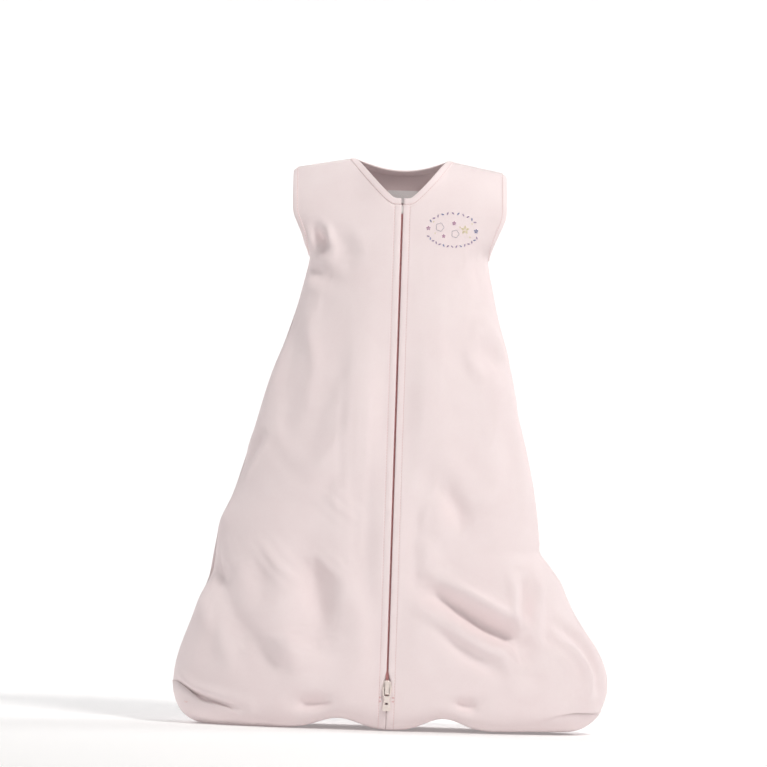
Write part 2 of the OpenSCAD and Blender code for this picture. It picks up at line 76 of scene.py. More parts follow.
def curveThrough(points, t):
    # cubic through each pair of [t, value] points, level at the first; past the ends the value stays as it is
    p = np.array(points, float)
    slope = np.gradient(p[:, 1], p[:, 0])
    slope[1:-1] = (p[2:, 1] - p[:-2, 1]) / (p[2:, 0] - p[:-2, 0])
    slope[0] = 0
    slope[-1] = (p[-1, 1] - p[-2, 1]) / (p[-1, 0] - p[-2, 0])
    t = np.clip(t, p[0, 0], p[-1, 0])
    i = np.clip(np.searchsorted(p[:, 0], t, side="right") - 1, 0, len(p) - 2)
    h = p[i + 1, 0] - p[i, 0]
    return hermite((t - p[i, 0]) / h, h, p[i, 1], p[i + 1, 1], slope[i], slope[i + 1])


def runAlong(path):
    # distance along a path at each of its points
    return np.concatenate([[0], np.cumsum(np.linalg.norm(np.diff(path, axis=0), axis=1))])


def valuesAt(q, run, values):
    # x, y, z given at the distances in run, read off at the distances q
    return np.stack([np.interp(q, run, values[:, k]) for k in range(3)], axis=1)


# ---- the zip's own frame, from the slider's joint
joints = {j["name"]: j for j in frame["record"]["behaviour"]["joints"]}
zipUp = unit(np.array(joints["slider_travel"]["axis"], float))
zipOut = np.array([0, -zipUp[2], zipUp[1]])
across = np.array([1.0, 0, 0])
sliderAt = np.array(joints["slider_travel"]["pos_m"], float)
pivotAt = np.array(joints["pull_tab_swing"]["pos_m"], float)
sinLean, cosLean = zipUp[1], zipUp[2]

backHigh, footHigh = (np.array(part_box(node)[1]) for node in ("back_panel", "foot_panel"))
zipCut = {
    "foldOut": 3.2 * mm,       # outer face of the folded edges, from the middle of the tape
    "foldGap": 2.2 * mm,       # between the folded edges
    "foldWidth": 10 * mm,      # from the zip's middle to where the panel's own curve starts
    "stitchX": 8 * mm,         # topstitching, from the zip's middle
    "coilOuter": 3.4 * mm,
}
seamZ = footHigh[2]
sliderU = (sliderAt[2] - seamZ + zipCut["foldOut"] * sinLean) / cosLean
zipHem = sliderAt - zipUp * sliderU
hemY = zipHem[1] - zipCut["foldOut"] * cosLean


def zipPoint(x, v, u):
    # x across, v outward from the tape's middle, u up the zip from the hem
    x, v, u = np.broadcast_arrays(*(np.asarray(a, float) for a in (x, v, u)))
    return zipHem + x[..., None] * across + v[..., None] * zipOut + u[..., None] * zipUp


# ---- outline of the bag: the same curves as the frame
bag = {
    "top": backHigh[2],
    "footHalf": 228 * mm,
    "footRise": 49 * mm,
    "footInset": 43 * mm,
    "footCurl": 20 * mm,
    "kneeHalf": 178 * mm,
    "waistHalf": 131 * mm,
    "armpitHalf": 95 * mm,
    "shoulderHalf": 108 * mm,
    "shoulderDrop": 10 * mm,
    "neckHalf": 54 * mm,
    "neckDrop": 47 * mm,
    "neckBackDrop": 14 * mm,
    "armholeHigh": 93 * mm,
    "armholeDeep": 76 * mm,
    "footBack": 88 * mm,
    "waistBack": 70 * mm,
    "chestBack": 56 * mm,
    "kneeAt": 0.295,           # of the way from the widest place up to the armpit
    "waistAt": 0.672,
    "rollHeight": 75 * mm,     # the shoulders round over within this height of the top
    "fullness": 0.8,           # 1 is an oval cross-section, less is fuller
}
armpitZ = bag["top"] - bag["shoulderDrop"] - bag["armholeHigh"]
armholeZ = armpitZ + bag["armholeHigh"] / 2
waistZ = mix(bag["footRise"], armpitZ, bag["waistAt"])
kneeZ = mix(bag["footRise"], armpitZ, bag["kneeAt"])
neckZ = bag["top"] - bag["neckDrop"]
sideLine = [[bag["footRise"], bag["footHalf"]], [kneeZ, bag["kneeHalf"]], [waistZ, bag["waistHalf"]],
            [armpitZ, bag["armpitHalf"]], [armholeZ, bag["shoulderHalf"]]]
backLine = [[0, bag["footBack"] - bag["footCurl"]], [seamZ, bag["footBack"] - 1 * mm],
            [bag["footRise"] * 1.5, bag["footBack"]], [waistZ, bag["waistBack"]],
            [armholeZ, bag["chestBack"]], [bag["top"], bag["chestBack"] - 6 * mm]]


def curl(z, h):
    # quarter ellipse from 1 at the ground to 0 at height h
    return 1 - np.sqrt(np.maximum(0, 1 - (1 - np.clip(z / h, 0, 1)) ** 2))


def halfWidth(z):
    low = bag["footHalf"] - bag["footInset"] * curl(z, bag["footRise"])
    return np.where(z < bag["footRise"], low, curveThrough(sideLine, z))


def frontDepth(z):
    low = -hemY - bag["footCurl"] * curl(z, seamZ)
    return np.where(z < seamZ, low, -hemY - (z - seamZ) * sinLean / cosLean)


def backDepth(z):
    low = bag["footBack"] - 1 * mm - bag["footCurl"] * curl(z, seamZ)
    return np.where(z < seamZ, low, curveThrough(backLine, z))


def closeZ(x):
    # height at which front and back meet over the shoulder
    fall = (x - bag["neckHalf"]) / (bag["shoulderHalf"] - bag["neckHalf"])
    return bag["top"] - bag["shoulderDrop"] * np.maximum(0, fall)


def armholeEdge(z):
    k = (z - armholeZ) / (bag["armholeHigh"] / 2)
    return bag["armholeDeep"] / 2 * np.sqrt(np.maximum(0, 1 - k**2))


def depthShare(x, z, depth, flat):
    # how much of the middle's depth is left at x: superellipse, cut short beside the armhole
    top = (armholeEdge(z) / depth) ** (1 / bag["fullness"])
    k = np.clip((x - flat) / (halfWidth(z) - flat), 0, 1) * np.sqrt(1 - top * top)
    return np.maximum(0, 1 - k * k) ** (bag["fullness"] / 2)


def rollShare(x, z, back):
    start = bag["top"] - bag["rollHeight"]
    k = np.clip((z - start) / (closeZ(x) - start), 0, 1)
    left = np.sqrt(1 - k**2.5)
    flat = zipCut["foldWidth"]
    return left if back else mix(1.0, left, smooth((x - flat) / (bag["neckHalf"] - flat)))


def depthAndShare(x, z, back):
    # depth of the middle at height z, and the share of it left at x
    depth = backDepth(z) if back else frontDepth(z)
    share = depthShare(x, z, depth, 0.0 if back else zipCut["foldWidth"]) * rollShare(x, z, back)
    return depth, share


def bagY(x, z, back):
    # y of the plain surface at x >= 0
    depth, share = depthAndShare(x, z, back)
    return depth * share * (1 if back else -1)


def outward(x, y, z, back):
    # slope of (y / depth) squared less its share squared, which stays finite over the shoulder and at the side
    def gap(x, y, z):
        depth, share = depthAndShare(x, z, back)
        return (y / depth) ** 2 - share**2

    h = 0.4 * mm
    zz = np.minimum(z, closeZ(x) - 1.01 * h)
    xx = np.minimum(x, halfWidth(zz) - 1.01 * h)
    return unit(np.stack([gap(xx + h, y, zz) - gap(xx - h, y, zz), gap(xx, y + h, zz) - gap(xx, y - h, zz),
                          gap(xx, y, zz + h) - gap(xx, y, zz - h)], axis=-1))


def neckTop(x, back):
    # top edge of a panel at x >= 0: neckline, then shoulder seam
    flat, half = zipCut["foldWidth"], bag["neckHalf"]
    front = neckZ + bag["neckDrop"] * np.clip((x - flat) / (half - flat), 0, 1) ** 1.2
    rear = bag["top"] - bag["neckBackDrop"] * (1 - np.clip(x / half, 0, 1) ** 2)
    return np.where(x < half, rear if back else front, closeZ(x))


# ---- how the cloth hangs: soft ridges and valleys over the plain surface
# A stroke runs along its points (x, z) with a height, a half width and a lip, the share of the height that
# stands up beside it with the other sign. All are in mm. A plus height is a ridge, a minus height a valley.
frontFolds = [
    # wearer's right of the zip, the left as seen
    dict(line=[(-45, 372), (-47, 280), (-43, 178)], high=0.9, wide=6, lip=-0.5),
    dict(line=[(-27, 362), (-29, 280), (-31, 205)], high=0.8, wide=5, lip=-0.4),
    dict(line=[(-130, 306), (-144, 282), (-157, 258)], high=-2.6, wide=4.5, lip=0.5),
    dict(line=[(-188, 196), (-168, 131), (-143, 76)], high=-5.5, wide=15, lip=0.3),
    dict(line=[(-140, 176), (-131, 152), (-122, 128)], high=-5.0, wide=24, lip=0.15),
    dict(line=[(-84, 184), (-80, 140), (-62, 84)], high=-8.5, wide=20, lip=0.35),
    dict(line=[(-127, 197), (-112, 174), (-94, 154)], high=2.8, wide=6, lip=-0.4),
    dict(line=[(-70, 250), (-54, 234), (-38, 219)], high=1.8, wide=5, lip=-0.4),
    dict(line=[(-78, 186), (-64, 170), (-50, 157)], high=2.2, wide=5, lip=-0.3),
    dict(line=[(-98, 106), (-97, 79), (-94, 56)], high=4.5, wide=18, lip=0),
    dict(line=[(-96, 27), (-77, 24), (-58, 27)], high=-5.0, wide=9, lip=0),
    dict(line=[(-228, 47), (-210, 33), (-182, 24), (-150, 18)], high=-2.5, wide=5, lip=0.6),
    dict(line=[(-88, 524), (-84, 514), (-81, 503)], high=-4.0, wide=6, lip=0.5),
    dict(line=[(-95, 489), (-84, 478), (-70, 472)], high=-2.2, wide=8, lip=0.4),
    dict(line=[(-64, 518), (-58, 508), (-54, 494)], high=-1.8, wide=9, lip=0.3),
    dict(line=[(-112, 440), (-104, 392), (-108, 330)], high=-3.0, wide=11, lip=0.4),
    # wearer's left
    dict(line=[(42, 260), (59, 252), (78, 228), (88, 214)], high=-6.0, wide=14, lip=0.3),
    dict(line=[(37, 238), (36, 226), (35, 212)], high=2.0, wide=6, lip=0),
    dict(line=[(41, 206), (41, 182), (40, 160)], high=4.5, wide=13, lip=0),
    dict(line=[(26, 155), (69, 136), (105, 117), (135, 101), (148, 62)], high=-8.0, wide=11, lip=0.45),
    dict(line=[(52, 162), (100, 138), (154, 108)], high=4.2, wide=9, lip=0),
    dict(line=[(146, 170), (150, 140), (150, 100)], high=-5.0, wide=7, lip=0.5),
    dict(line=[(166, 117), (196, 88), (203, 71), (200, 30)], high=4.0, wide=8, lip=-0.4),
    dict(line=[(184, 117), (204, 91), (214, 70), (219, 34)], high=-3.5, wide=6, lip=0.4),
    dict(line=[(68, 30), (81, 26), (94, 30)], high=-4.5, wide=9, lip=0),
    dict(line=[(84, 420), (92, 404), (108, 380)], high=-3.5, wide=9, lip=0.5),
    dict(line=[(92, 500), (82, 470), (78, 436)], high=-2.5, wide=10, lip=0.4),
    dict(line=[(112, 330), (124, 280), (128, 232)], high=-2.4, wide=12, lip=0.4),
]
backFolds = [
    dict(line=[(-60, 560), (-20, 545), (25, 552), (66, 562)], high=-2.5, wide=9, lip=0.4),
    dict(line=[(-84, 500), (-60, 440), (-66, 350)], high=-3.0, wide=14, lip=0.4),
    dict(line=[(78, 494), (58, 430), (72, 330)], high=-3.4, wide=14, lip=0.4),
    dict(line=[(-20, 380), (-14, 260), (-30, 120)], high=-3.0, wide=18, lip=0.5),
    dict(line=[(40, 330), (62, 220), (98, 96)], high=-5.0, wide=18, lip=0.4),
    dict(line=[(-70, 300), (-110, 190), (-150, 80)], high=-5.0, wide=18, lip=0.4),
    dict(line=[(10, 150), (20, 90), (14, 40)], high=3.5, wide=20, lip=0),
    dict(line=[(120, 210), (150, 140), (180, 60)], high=-4.0, wide=13, lip=0.4),
    dict(line=[(-50, 110), (-70, 70), (-76, 30)], high=-4.0, wide=14, lip=0.3),
]
# Broad swells where the cloth stands over what fills it: x, z, both half widths and height, in mm
frontSwells = [(-58, 340, 60, 60, 7), (62, 345, 60, 55, 6), (-66, 190, 70, 60, -10), (66, 195, 60, 55, -10),
               (-120, 92, 55, 40, 6), (-30, 80, 40, 40, 3), (60, 95, 60, 35, 4), (130, 60, 45, 30, 3)]
backSwells = [(0, 300, 70, 60, 5), (-60, 120, 60, 50, 5), (70, 110, 60, 50, 4), (0, 430, 60, 50, 4)]
strokeShape = {
    "steps": 28,               # points along a stroke
    "ends": (0.03, 0.97),      # how far along it the fading stops, so that the ends keep a little height
    "fade": 0.6,
    "lipAt": 1.9,              # middle of the lip, in half widths of the stroke
    "lipWide": 0.8,
}
waves = {
    "count": 14,
    "lengths": (22, 70),       # mm
    "turn": 0.35,              # radians
    "drift": 0.6,
    "drifts": (50, 120),       # mm
    "mean": 40,                # mm
}
folding = {
    "strokes": 2.2,            # every stroke's height is multiplied by this
    "waves": 0.7 * mm,
    "frontSeed": 3,
    "backSeed": 7,
    "topClear": 22 * mm,       # this far below the top the folds are down to topLeft
    "topWide": 60 * mm,
    "topLeft": 0.25,
    "zipClear": 9 * mm,        # this close to the zip's middle there are none
    "zipWide": 22 * mm,
    "sideWide": 9 * mm,        # at the side seam they are down to sideLeft
    "sideLeft": 0.3,
}
hang = {
    # height and shift in mm of each side's outline
    "sideLeft": [[0, 4], [60, 5], [92, 1], [104, -2], [116, -4], [128, -5.5], [144, -5.5], [160, -5], [170, -8],
                 [181, -12.5], [190, -17], [200, -14.5], [222, -10.5], [240, -8], [260, -6], [300, -5], [335, -5],
                 [350, -3.5], [400, -1], [500, -2], [600, -3.6]],
    "sideRight": [[0, -4], [30, 0], [60, 2], [96, 2], [128, -1], [154, -4], [175, -9], [196, -12.5], [216, -15],
                  [240, -11], [270, -9.5], [350, -8], [480, -2], [600, -3.6]],
    "reach": 1.15,             # the shift is whole a little inside the outline
    # arches of the lower edge: place, half width and height
    "lifts": [(-50 * mm, 30 * mm, 12 * mm), (60 * mm, 28 * mm, 14 * mm), (170 * mm, 70 * mm, 3 * mm)],
    "liftHigh": 46 * mm,       # the arches fade out at this height
    "liftFade": 1.3,
}


def splineLine(line):
    # smooth line through a few points given in mm, in metres
    p = np.array(line, float) * mm
    s = runAlong(p)
    t = np.linspace(0, s[-1], strokeShape["steps"])
    i = np.clip(np.searchsorted(s, t, side="right") - 1, 0, len(s) - 2)
    h = s[i + 1] - s[i]
    out = np.empty((len(t), 2))
    for axis in (0, 1):
        m = np.gradient(p[:, axis], s)
        out[:, axis] = hermite((t - s[i]) / h, h, p[i, axis], p[i + 1, axis], m[i], m[i + 1])
    return out


def strokeHeight(x, z, fold):
    # bell across the line, with lips of the other sign beside it, fading towards both ends
    line = splineLine(fold["line"])
    flat = np.stack([x.ravel(), z.ravel()], axis=1)
    far = np.linalg.norm(flat[:, None] - line[None], axis=2)
    near = far.argmin(axis=1)
    d = far[np.arange(len(flat)), near] / (fold["wide"] * mm)
    along = near / (len(line) - 1)
    fade = np.sin(np.pi * np.clip(along, *strokeShape["ends"])) ** strokeShape["fade"]
    profile = np.exp(-d**2) - fold["lip"] * np.exp(-((d - strokeShape["lipAt"]) / strokeShape["lipWide"]) ** 2)
    return (fold["high"] * mm * fade * profile).reshape(x.shape)


def ripple(x, z, seed):
    # sum of long soft waves that run mostly up and down, as cloth hangs
    draw = np.random.default_rng(seed)
    total = np.zeros_like(x)
    for _ in range(waves["count"]):
        length = draw.uniform(*waves["lengths"]) * mm
        turn = draw.normal(0, waves["turn"])
        phase = draw.uniform(0, 2 * np.pi)
        drift = waves["drift"] * np.sin(z / (draw.uniform(*waves["drifts"]) * mm) + draw.uniform(0, 6.3))
        total += np.sin(2 * np.pi * (x * np.cos(turn) + z * np.sin(turn)) / length + phase + drift) * length
    return total / (waves["count"] * waves["mean"] * mm)


def foldHeight(x, z, back):
    # how far the cloth stands off the plain surface: less near the top and the sides, nothing beside the zip
    strokes = sum(strokeHeight(x, z, f) for f in (backFolds if back else frontFolds))
    total = folding["strokes"] * strokes
    total = total + folding["waves"] * ripple(x, z, folding["backSeed" if back else "frontSeed"])
    for cx, cz, wx, wz, high in (backSwells if back else frontSwells):
        total = total + high * mm * bump(x - cx * mm, wx * mm) * bump(z - cz * mm, wz * mm)
    left = folding["topLeft"]
    calm = smooth((bag["top"] - folding["topClear"] - z) / folding["topWide"]) * (1 - left) + left
    if not back:
        calm = calm * smooth((np.abs(x) - folding["zipClear"]) / folding["zipWide"])
    left = folding["sideLeft"]
    edge = smooth((halfWidth(z) - np.abs(x)) / folding["sideWide"]) * (1 - left) + left
    return total * calm * edge


def skin(x, z, back=False, lift=0.0, calm=False):
    # points on the outer face of the cloth and their outward directions; x is signed, lift is off the face
    x, z = np.broadcast_arrays(np.asarray(x, float), np.asarray(z, float))
    side = np.where(x < 0, -1.0, 1.0)
    a = np.abs(x)
    y = bagY(a, z, back)
    n = outward(a, y, z, back)
    n = np.stack([n[..., 0] * side, n[..., 1], n[..., 2]], axis=-1)
    d = np.zeros_like(x) if calm else foldHeight(x, z, back)
    p = np.stack([x, y, z], axis=-1) + n * (d + lift)[..., None]
    return hangOver(p), n


def hangOver(p):
    # each side's outline is shifted by its own amounts, and the lower edge arches between the feet
    p = p.copy()
    share = smooth(np.abs(p[..., 0]) / halfWidth(np.clip(p[..., 2], 0, bag["top"])) * hang["reach"])
    z = p[..., 2] / mm
    shift = np.where(p[..., 0] > 0, curveThrough(hang["sideLeft"], z), curveThrough(hang["sideRight"], z))
    p[..., 0] += shift * mm * share
    low = np.clip(1 - p[..., 2] / hang["liftHigh"], 0, 1) ** hang["liftFade"]
    for at, wide, high in hang["lifts"]:
        p[..., 2] += high * low * bump(p[..., 0] - at, wide)
    return p


# ---- meshes
def newPiece(name, points, faces, uv=None, body="bag", material=None):
    mesh = bpy.data.meshes.new(name)
    points = np.asarray(points, np.float32).reshape(-1, 3)
    if isinstance(faces, list):
        sizes = np.array([len(f) for f in faces])
        flat = np.concatenate([np.asarray(f).ravel() for f in faces])
    else:
        sizes = np.full(len(faces), faces.shape[1])
        flat = faces.ravel()
    mesh.vertices.add(len(points))
    mesh.vertices.foreach_set("co", points.ravel())
    mesh.loops.add(len(flat))
    mesh.loops.foreach_set("vertex_index", flat.astype(np.int32))
    mesh.polygons.add(len(sizes))
    mesh.polygons.foreach_set("loop_start", np.concatenate([[0], np.cumsum(sizes)[:-1]]).astype(np.int32))
    mesh.polygons.foreach_set("loop_total", sizes.astype(np.int32))
    if uv is not None:
        layer = mesh.uv_layers.new(name="cloth")
        layer.data.foreach_set("uv", np.asarray(uv, np.float32).reshape(-1, 2)[flat].ravel())
    mesh.update(calc_edges=True)
    mesh.polygons.foreach_set("use_smooth", np.ones(len(sizes), bool))
    mesh.validate()
    piece = bpy.data.objects.new(name, mesh)
    bpy.context.scene.collection.objects.link(piece)
    if material is not None:
        mesh.materials.append(material)
    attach(piece, body)
    return piece


def addPart(name, shape, material, nodes=(), uv=None, body="bag"):
    # a piece that stands in for some of the frame's nodes, in a material slot of its own
    piece = newPiece(name, *shape, uv, body, material)
    if nodes:
        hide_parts(*nodes)
    return piece


def thicken(piece, thick, offset):
    wall = piece.modifiers.new("cloth", "SOLIDIFY")
    wall.thickness, wall.offset = thick, offset


def gridFaces(rows, cols, wrapRows=False, wrapCols=False, flip=False):
    # quads of a grid of points numbered row by row; a wrapped side joins its last line to its first
    r = np.arange(rows if wrapRows else rows - 1)[:, None]
    c = np.arange(cols if wrapCols else cols - 1)[None, :]
    a = r * cols + c
    b = r * cols + (c + 1) % cols
    d = (r + 1) % rows * cols + c
    e = (r + 1) % rows * cols + (c + 1) % cols
    return np.stack([a, b, e, d] if not flip else [a, d, e, b], axis=-1).reshape(-1, 4)


def repeated(faces, count, per):
    # the faces of one part numbered on for each of its copies
    return (faces[None] + (np.arange(count) * per)[:, None, None]).reshape(-1, faces.shape[1])


def endCaps(rows, cols):
    # one face over each end of a grid that is wrapped round
    return [np.arange(cols)[::-1], np.arange(cols) + (rows - 1) * cols]


def arcLength(p, axis):
    step = np.linalg.norm(np.diff(p, axis=axis), axis=-1)
    pad = [(0, 0)] * step.ndim
    pad[axis] = (1, 0)
    return np.pad(np.cumsum(step, axis=axis), pad)


def facingOut(points, faces):
    # turns every face round if the closed shape's volume comes out below zero; faces are fans of triangles
    p = np.asarray(points).reshape(-1, 3)
    p = p - p.mean(axis=0)
    quads = np.array([f for f in faces if len(f) == 4])
    rest = [f for f in faces if len(f) != 4]
    tri = [quads[:, [0, 1, 2]], quads[:, [0, 2, 3]]]
    tri += [np.stack([np.full(len(f) - 2, f[0]), f[1:-1], f[2:]], axis=1) for f in rest]
    t = np.concatenate(tri)
    volume = (np.cross(p[t[:, 0]], p[t[:, 1]]) * p[t[:, 2]]).sum()
    return faces if volume > 0 else [f[::-1] for f in faces]


def capsules(starts, ends, normals, thick, bow=0.25, sides=6, lengths=5):
    # one small bowed thread from each start to each end: an ellipse carried along a shallow arch
    starts, ends, normals = (np.asarray(a, float) for a in (starts, ends, normals))
    t = np.linspace(0, 1, lengths)
    swell = np.array([0.28] + [1.0] * (lengths - 2) + [0.28]) * thick / 2
    along = unit(ends - starts)
    side = unit(np.cross(normals, along))
    arch = (np.sin(np.pi * t) * bow * thick)[None, :, None] * normals[:, None]
    middle = starts[:, None] + t[None, :, None] * (ends - starts)[:, None] + arch
    a = np.arange(sides) * 2 * np.pi / sides
    ring = (np.cos(a)[None, None, :, None] * side[:, None, None] + 0.75 * np.sin(a)[None, None, :, None]
            * normals[:, None, None]) * swell[None, :, None, None]
    points = middle[:, :, None] + ring
    count, per = len(starts), lengths * sides
    quads = repeated(gridFaces(lengths, sides, wrapCols=True), count, per)
    caps = [(np.arange(sides)[::-1] + k * per) for k in range(count)]
    caps += [(np.arange(sides) + (lengths - 1) * sides + k * per) for k in range(count)]
    return points.reshape(-1, 3), [*quads, *caps]


def stitchRow(path, normals, length, gap, thick, sink=0.0):
    # stitches of even length along a path, each starting just after the last
    s = runAlong(path)
    count = max(1, int(s[-1] / (length + gap)))
    pitch = s[-1] / count
    a = np.arange(count) * pitch + gap / 2
    b = a + pitch - gap
    n = unit(valuesAt((a + b) / 2, s, normals))
    return capsules(valuesAt(a, s, path) - n * sink, valuesAt(b, s, path) - n * sink, n, thick)


def joinParts(parts):
    # several (points, faces) made one
    points, faces, start = [], [], 0
    for p, f in parts:
        points.append(np.asarray(p).reshape(-1, 3))
        faces += [np.asarray(q) + start for q in f]
        start += len(points[-1])
    return np.concatenate(points), faces


# ---- materials
def linear(hexColour):
    # sRGB hex to linear
    c = np.array([int(hexColour[i:i + 2], 16) for i in (1, 3, 5)]) / 255
    return (*np.where(c <= 0.04045, c / 12.92, ((c + 0.055) / 1.055) ** 2.4), 1.0)


def newMaterial(name, **shader):
    made = bpy.data.materials.new(name)
    made.use_nodes = True
    made.node_tree.nodes.clear()
    out = addNode(made, "ShaderNodeOutputMaterial")
    surface = addNode(made, "ShaderNodeBsdfPrincipled", shader)
    made.node_tree.links.new(surface.outputs["BSDF"], out.inputs["Surface"])
    return made, surface


def addNode(made, kind, settings=None, links=None):
    # a node, its settings (a socket's name or number, or the node's own setting) and what feeds it
    tree = made.node_tree
    node = tree.nodes.new(kind)
    for key, value in (settings or {}).items():
        socket = key if isinstance(key, int) else key.replace("_", " ")
        if isinstance(key, int) or socket in node.inputs:
            node.inputs[socket].default_value = value
        else:
            setattr(node, key, value)
    for key, source in (links or {}).items():
        tree.links.new(source, node.inputs[key if isinstance(key, int) else key.replace("_", " ")])
    return node


def sums(made, operation, a, b=None):
    # one sum of two sockets or numbers
    node = addNode(made, "ShaderNodeMath", {"operation": operation})
    for i, v in enumerate((a, b)):
        if isinstance(v, (int, float)):
            node.inputs[i].default_value = v
        elif v is not None:
            made.node_tree.links.new(v, node.inputs[i])
    return node.outputs[0]


def colourBetween(made, factor, low, high):
    node = addNode(made, "ShaderNodeMix", {"data_type": "RGBA"})
    node.inputs[6].default_value, node.inputs[7].default_value = linear(low), linear(high)
    made.node_tree.links.new(factor, node.inputs[0])
    return node.outputs[2]


def noiseOf(made, scale, detail, roughness=0.5):
    # noise that stays with the object
    where = addNode(made, "ShaderNodeTexCoord")
    node = addNode(made, "ShaderNodeTexNoise", {"Scale": scale, "Detail": detail, "Roughness": roughness},
                   {"Vector": where.outputs["Object"]})
    return node.outputs["Fac"]


def raised(made, surface, height, strength, distance):
    node = addNode(made, "ShaderNodeBump", {"Strength": strength, "Distance": distance}, {"Height": height})
    made.node_tree.links.new(node.outputs[0], surface.inputs["Normal"])


def painted(made, surface, factor, low, high):
    made.node_tree.links.new(colourBetween(made, factor, low, high), surface.inputs["Base Color"])


knit = {"wale": 1.05 * mm, "course": 0.8 * mm, "depth": 0.16 * mm}     # a fine jersey, about 10 wales to the cm


def cottonJersey(name, low, high, wale=knit["wale"], sheen=0.35):
    # single jersey: columns of small Vs, matt, a little fuzz that lightens the edges, faint mottling, and painted
    # shade in the grooves between the stitches
    made, surface = newMaterial(name, Roughness=0.88, Sheen_Weight=sheen, Sheen_Roughness=0.45,
                                Specular_IOR_Level=0.25)
    surface.inputs["Sheen Tint"].default_value = linear("#fff4f2")
    uv = addNode(made, "ShaderNodeUVMap", {"uv_map": "cloth"})
    split = addNode(made, "ShaderNodeSeparateXYZ", links={0: uv.outputs[0]})
    u = sums(made, "DIVIDE", split.outputs[0], wale)
    v = sums(made, "DIVIDE", split.outputs[1], knit["course"])
    legs = sums(made, "ABSOLUTE", sums(made, "SINE", sums(made, "MULTIPLY", u, np.pi)))
    slant = sums(made, "MULTIPLY", sums(made, "PINGPONG", u, 0.5), 1.4)
    loops = sums(made, "SINE", sums(made, "MULTIPLY", sums(made, "ADD", v, slant), 2 * np.pi))
    stitch = sums(made, "MULTIPLY", legs, sums(made, "ADD", sums(made, "MULTIPLY", loops, 0.3), 0.7))
    slub = noiseOf(made, 420.0, 3.0, 0.6)
    wash = noiseOf(made, 26.0, 4.0, 0.55)
    height = sums(made, "ADD", stitch, sums(made, "MULTIPLY", slub, 0.7))
    raised(made, surface, height, 0.55, knit["depth"])
    # colour: painted shade, darker in the knit's grooves where the stitch relief is low, plus random mottling
    # from the two noises
    grooveShadeAndMottle = sums(made, "ADD", sums(made, "MULTIPLY", stitch, 0.35),
                 sums(made, "ADD", sums(made, "MULTIPLY", wash, 0.55), sums(made, "MULTIPLY", slub, 0.25)))
    painted(made, surface, grooveShadeAndMottle, low, high)
    return made


def spunThread(name, low, high, twist=0.9 * mm):
    # twisted polyester thread: slight gloss, slanting bands from the ply, in the relief and as painted shade in
    # the ply's grooves; a little random tone
    made, surface = newMaterial(name, Roughness=0.55, Sheen_Weight=0.2, Specular_IOR_Level=0.4)
    where = addNode(made, "ShaderNodeTexCoord")
    ply = addNode(made, "ShaderNodeTexWave", {"Scale": 0.5 / twist, "Distortion": 1.5, "Detail": 1.0,
                                             "wave_type": "BANDS", "bands_direction": "DIAGONAL"},
                  {"Vector": where.outputs["Object"]})
    # the same bands and noise make the relief and the colour: the ply's grooves are painted darker, a painted
    # shade
    both = sums(made, "ADD", sums(made, "MULTIPLY", ply.outputs["Fac"], 0.6),
                sums(made, "MULTIPLY", noiseOf(made, 900.0, 2.0), 0.4))
    raised(made, surface, both, 0.5, 0.08 * mm)
    painted(made, surface, both, low, high)
    return made


def wovenTape(name, low, high, rib=0.7 * mm, gloss=0.6):
    # narrow woven polyester: fine herringbone ribs, flat and slightly shiny; the colour is darker between the
    # ribs, a painted shade, with random flecks
    made, surface = newMaterial(name, Roughness=gloss, Sheen_Weight=0.15, Specular_IOR_Level=0.35)
    where = addNode(made, "ShaderNodeTexCoord")
    split = addNode(made, "ShaderNodeSeparateXYZ", links={0: where.outputs["Object"]})
    zig = sums(made, "PINGPONG", split.outputs[0], 2.5 * mm)
    rows = sums(made, "SINE", sums(made, "MULTIPLY", sums(made, "ADD", split.outputs[2], zig), 2 * np.pi / rib))
    # ribs and flecks make the relief and the colour: painted shade between the ribs, random flecks
    both = sums(made, "ADD", sums(made, "MULTIPLY", rows, 0.3),
                sums(made, "ADD", sums(made, "MULTIPLY", noiseOf(made, 700.0, 2.0), 0.5), 0.25))
    raised(made, surface, both, 0.5, 0.1 * mm)
    painted(made, surface, both, low, high)
    return made


def mouldedNylon(name, low, high, rough=0.42):
    # nylon monofilament or moulded acetal: smooth, softly glossy, faintly cloudy
    made, surface = newMaterial(name, Roughness=rough, IOR=1.53)
    cloud = noiseOf(made, 260.0, 3.0)
    raised(made, surface, cloud, 0.15, 0.05 * mm)
    painted(made, surface, cloud, low, high)
    return made


def bakedEnamel(name, low, high):
    # die-cast zinc under baked enamel: smooth gloss, slight orange peel, a little uneven in colour
    made, surface = newMaterial(name, Roughness=0.32, Coat_Weight=0.35, Coat_Roughness=0.12, IOR=1.5)
    raised(made, surface, noiseOf(made, 900.0, 1.0), 0.12, 0.05 * mm)
    painted(made, surface, noiseOf(made, 240.0, 4.0), low, high)
    return made


def drawnSteel(name):
    # spring steel strip: metal, its grey slightly uneven
    made, surface = newMaterial(name, Roughness=0.35, Metallic=1.0)
    painted(made, surface, noiseOf(made, 600.0, 2.0), "#8e8f92", "#c9cacc")
    return made


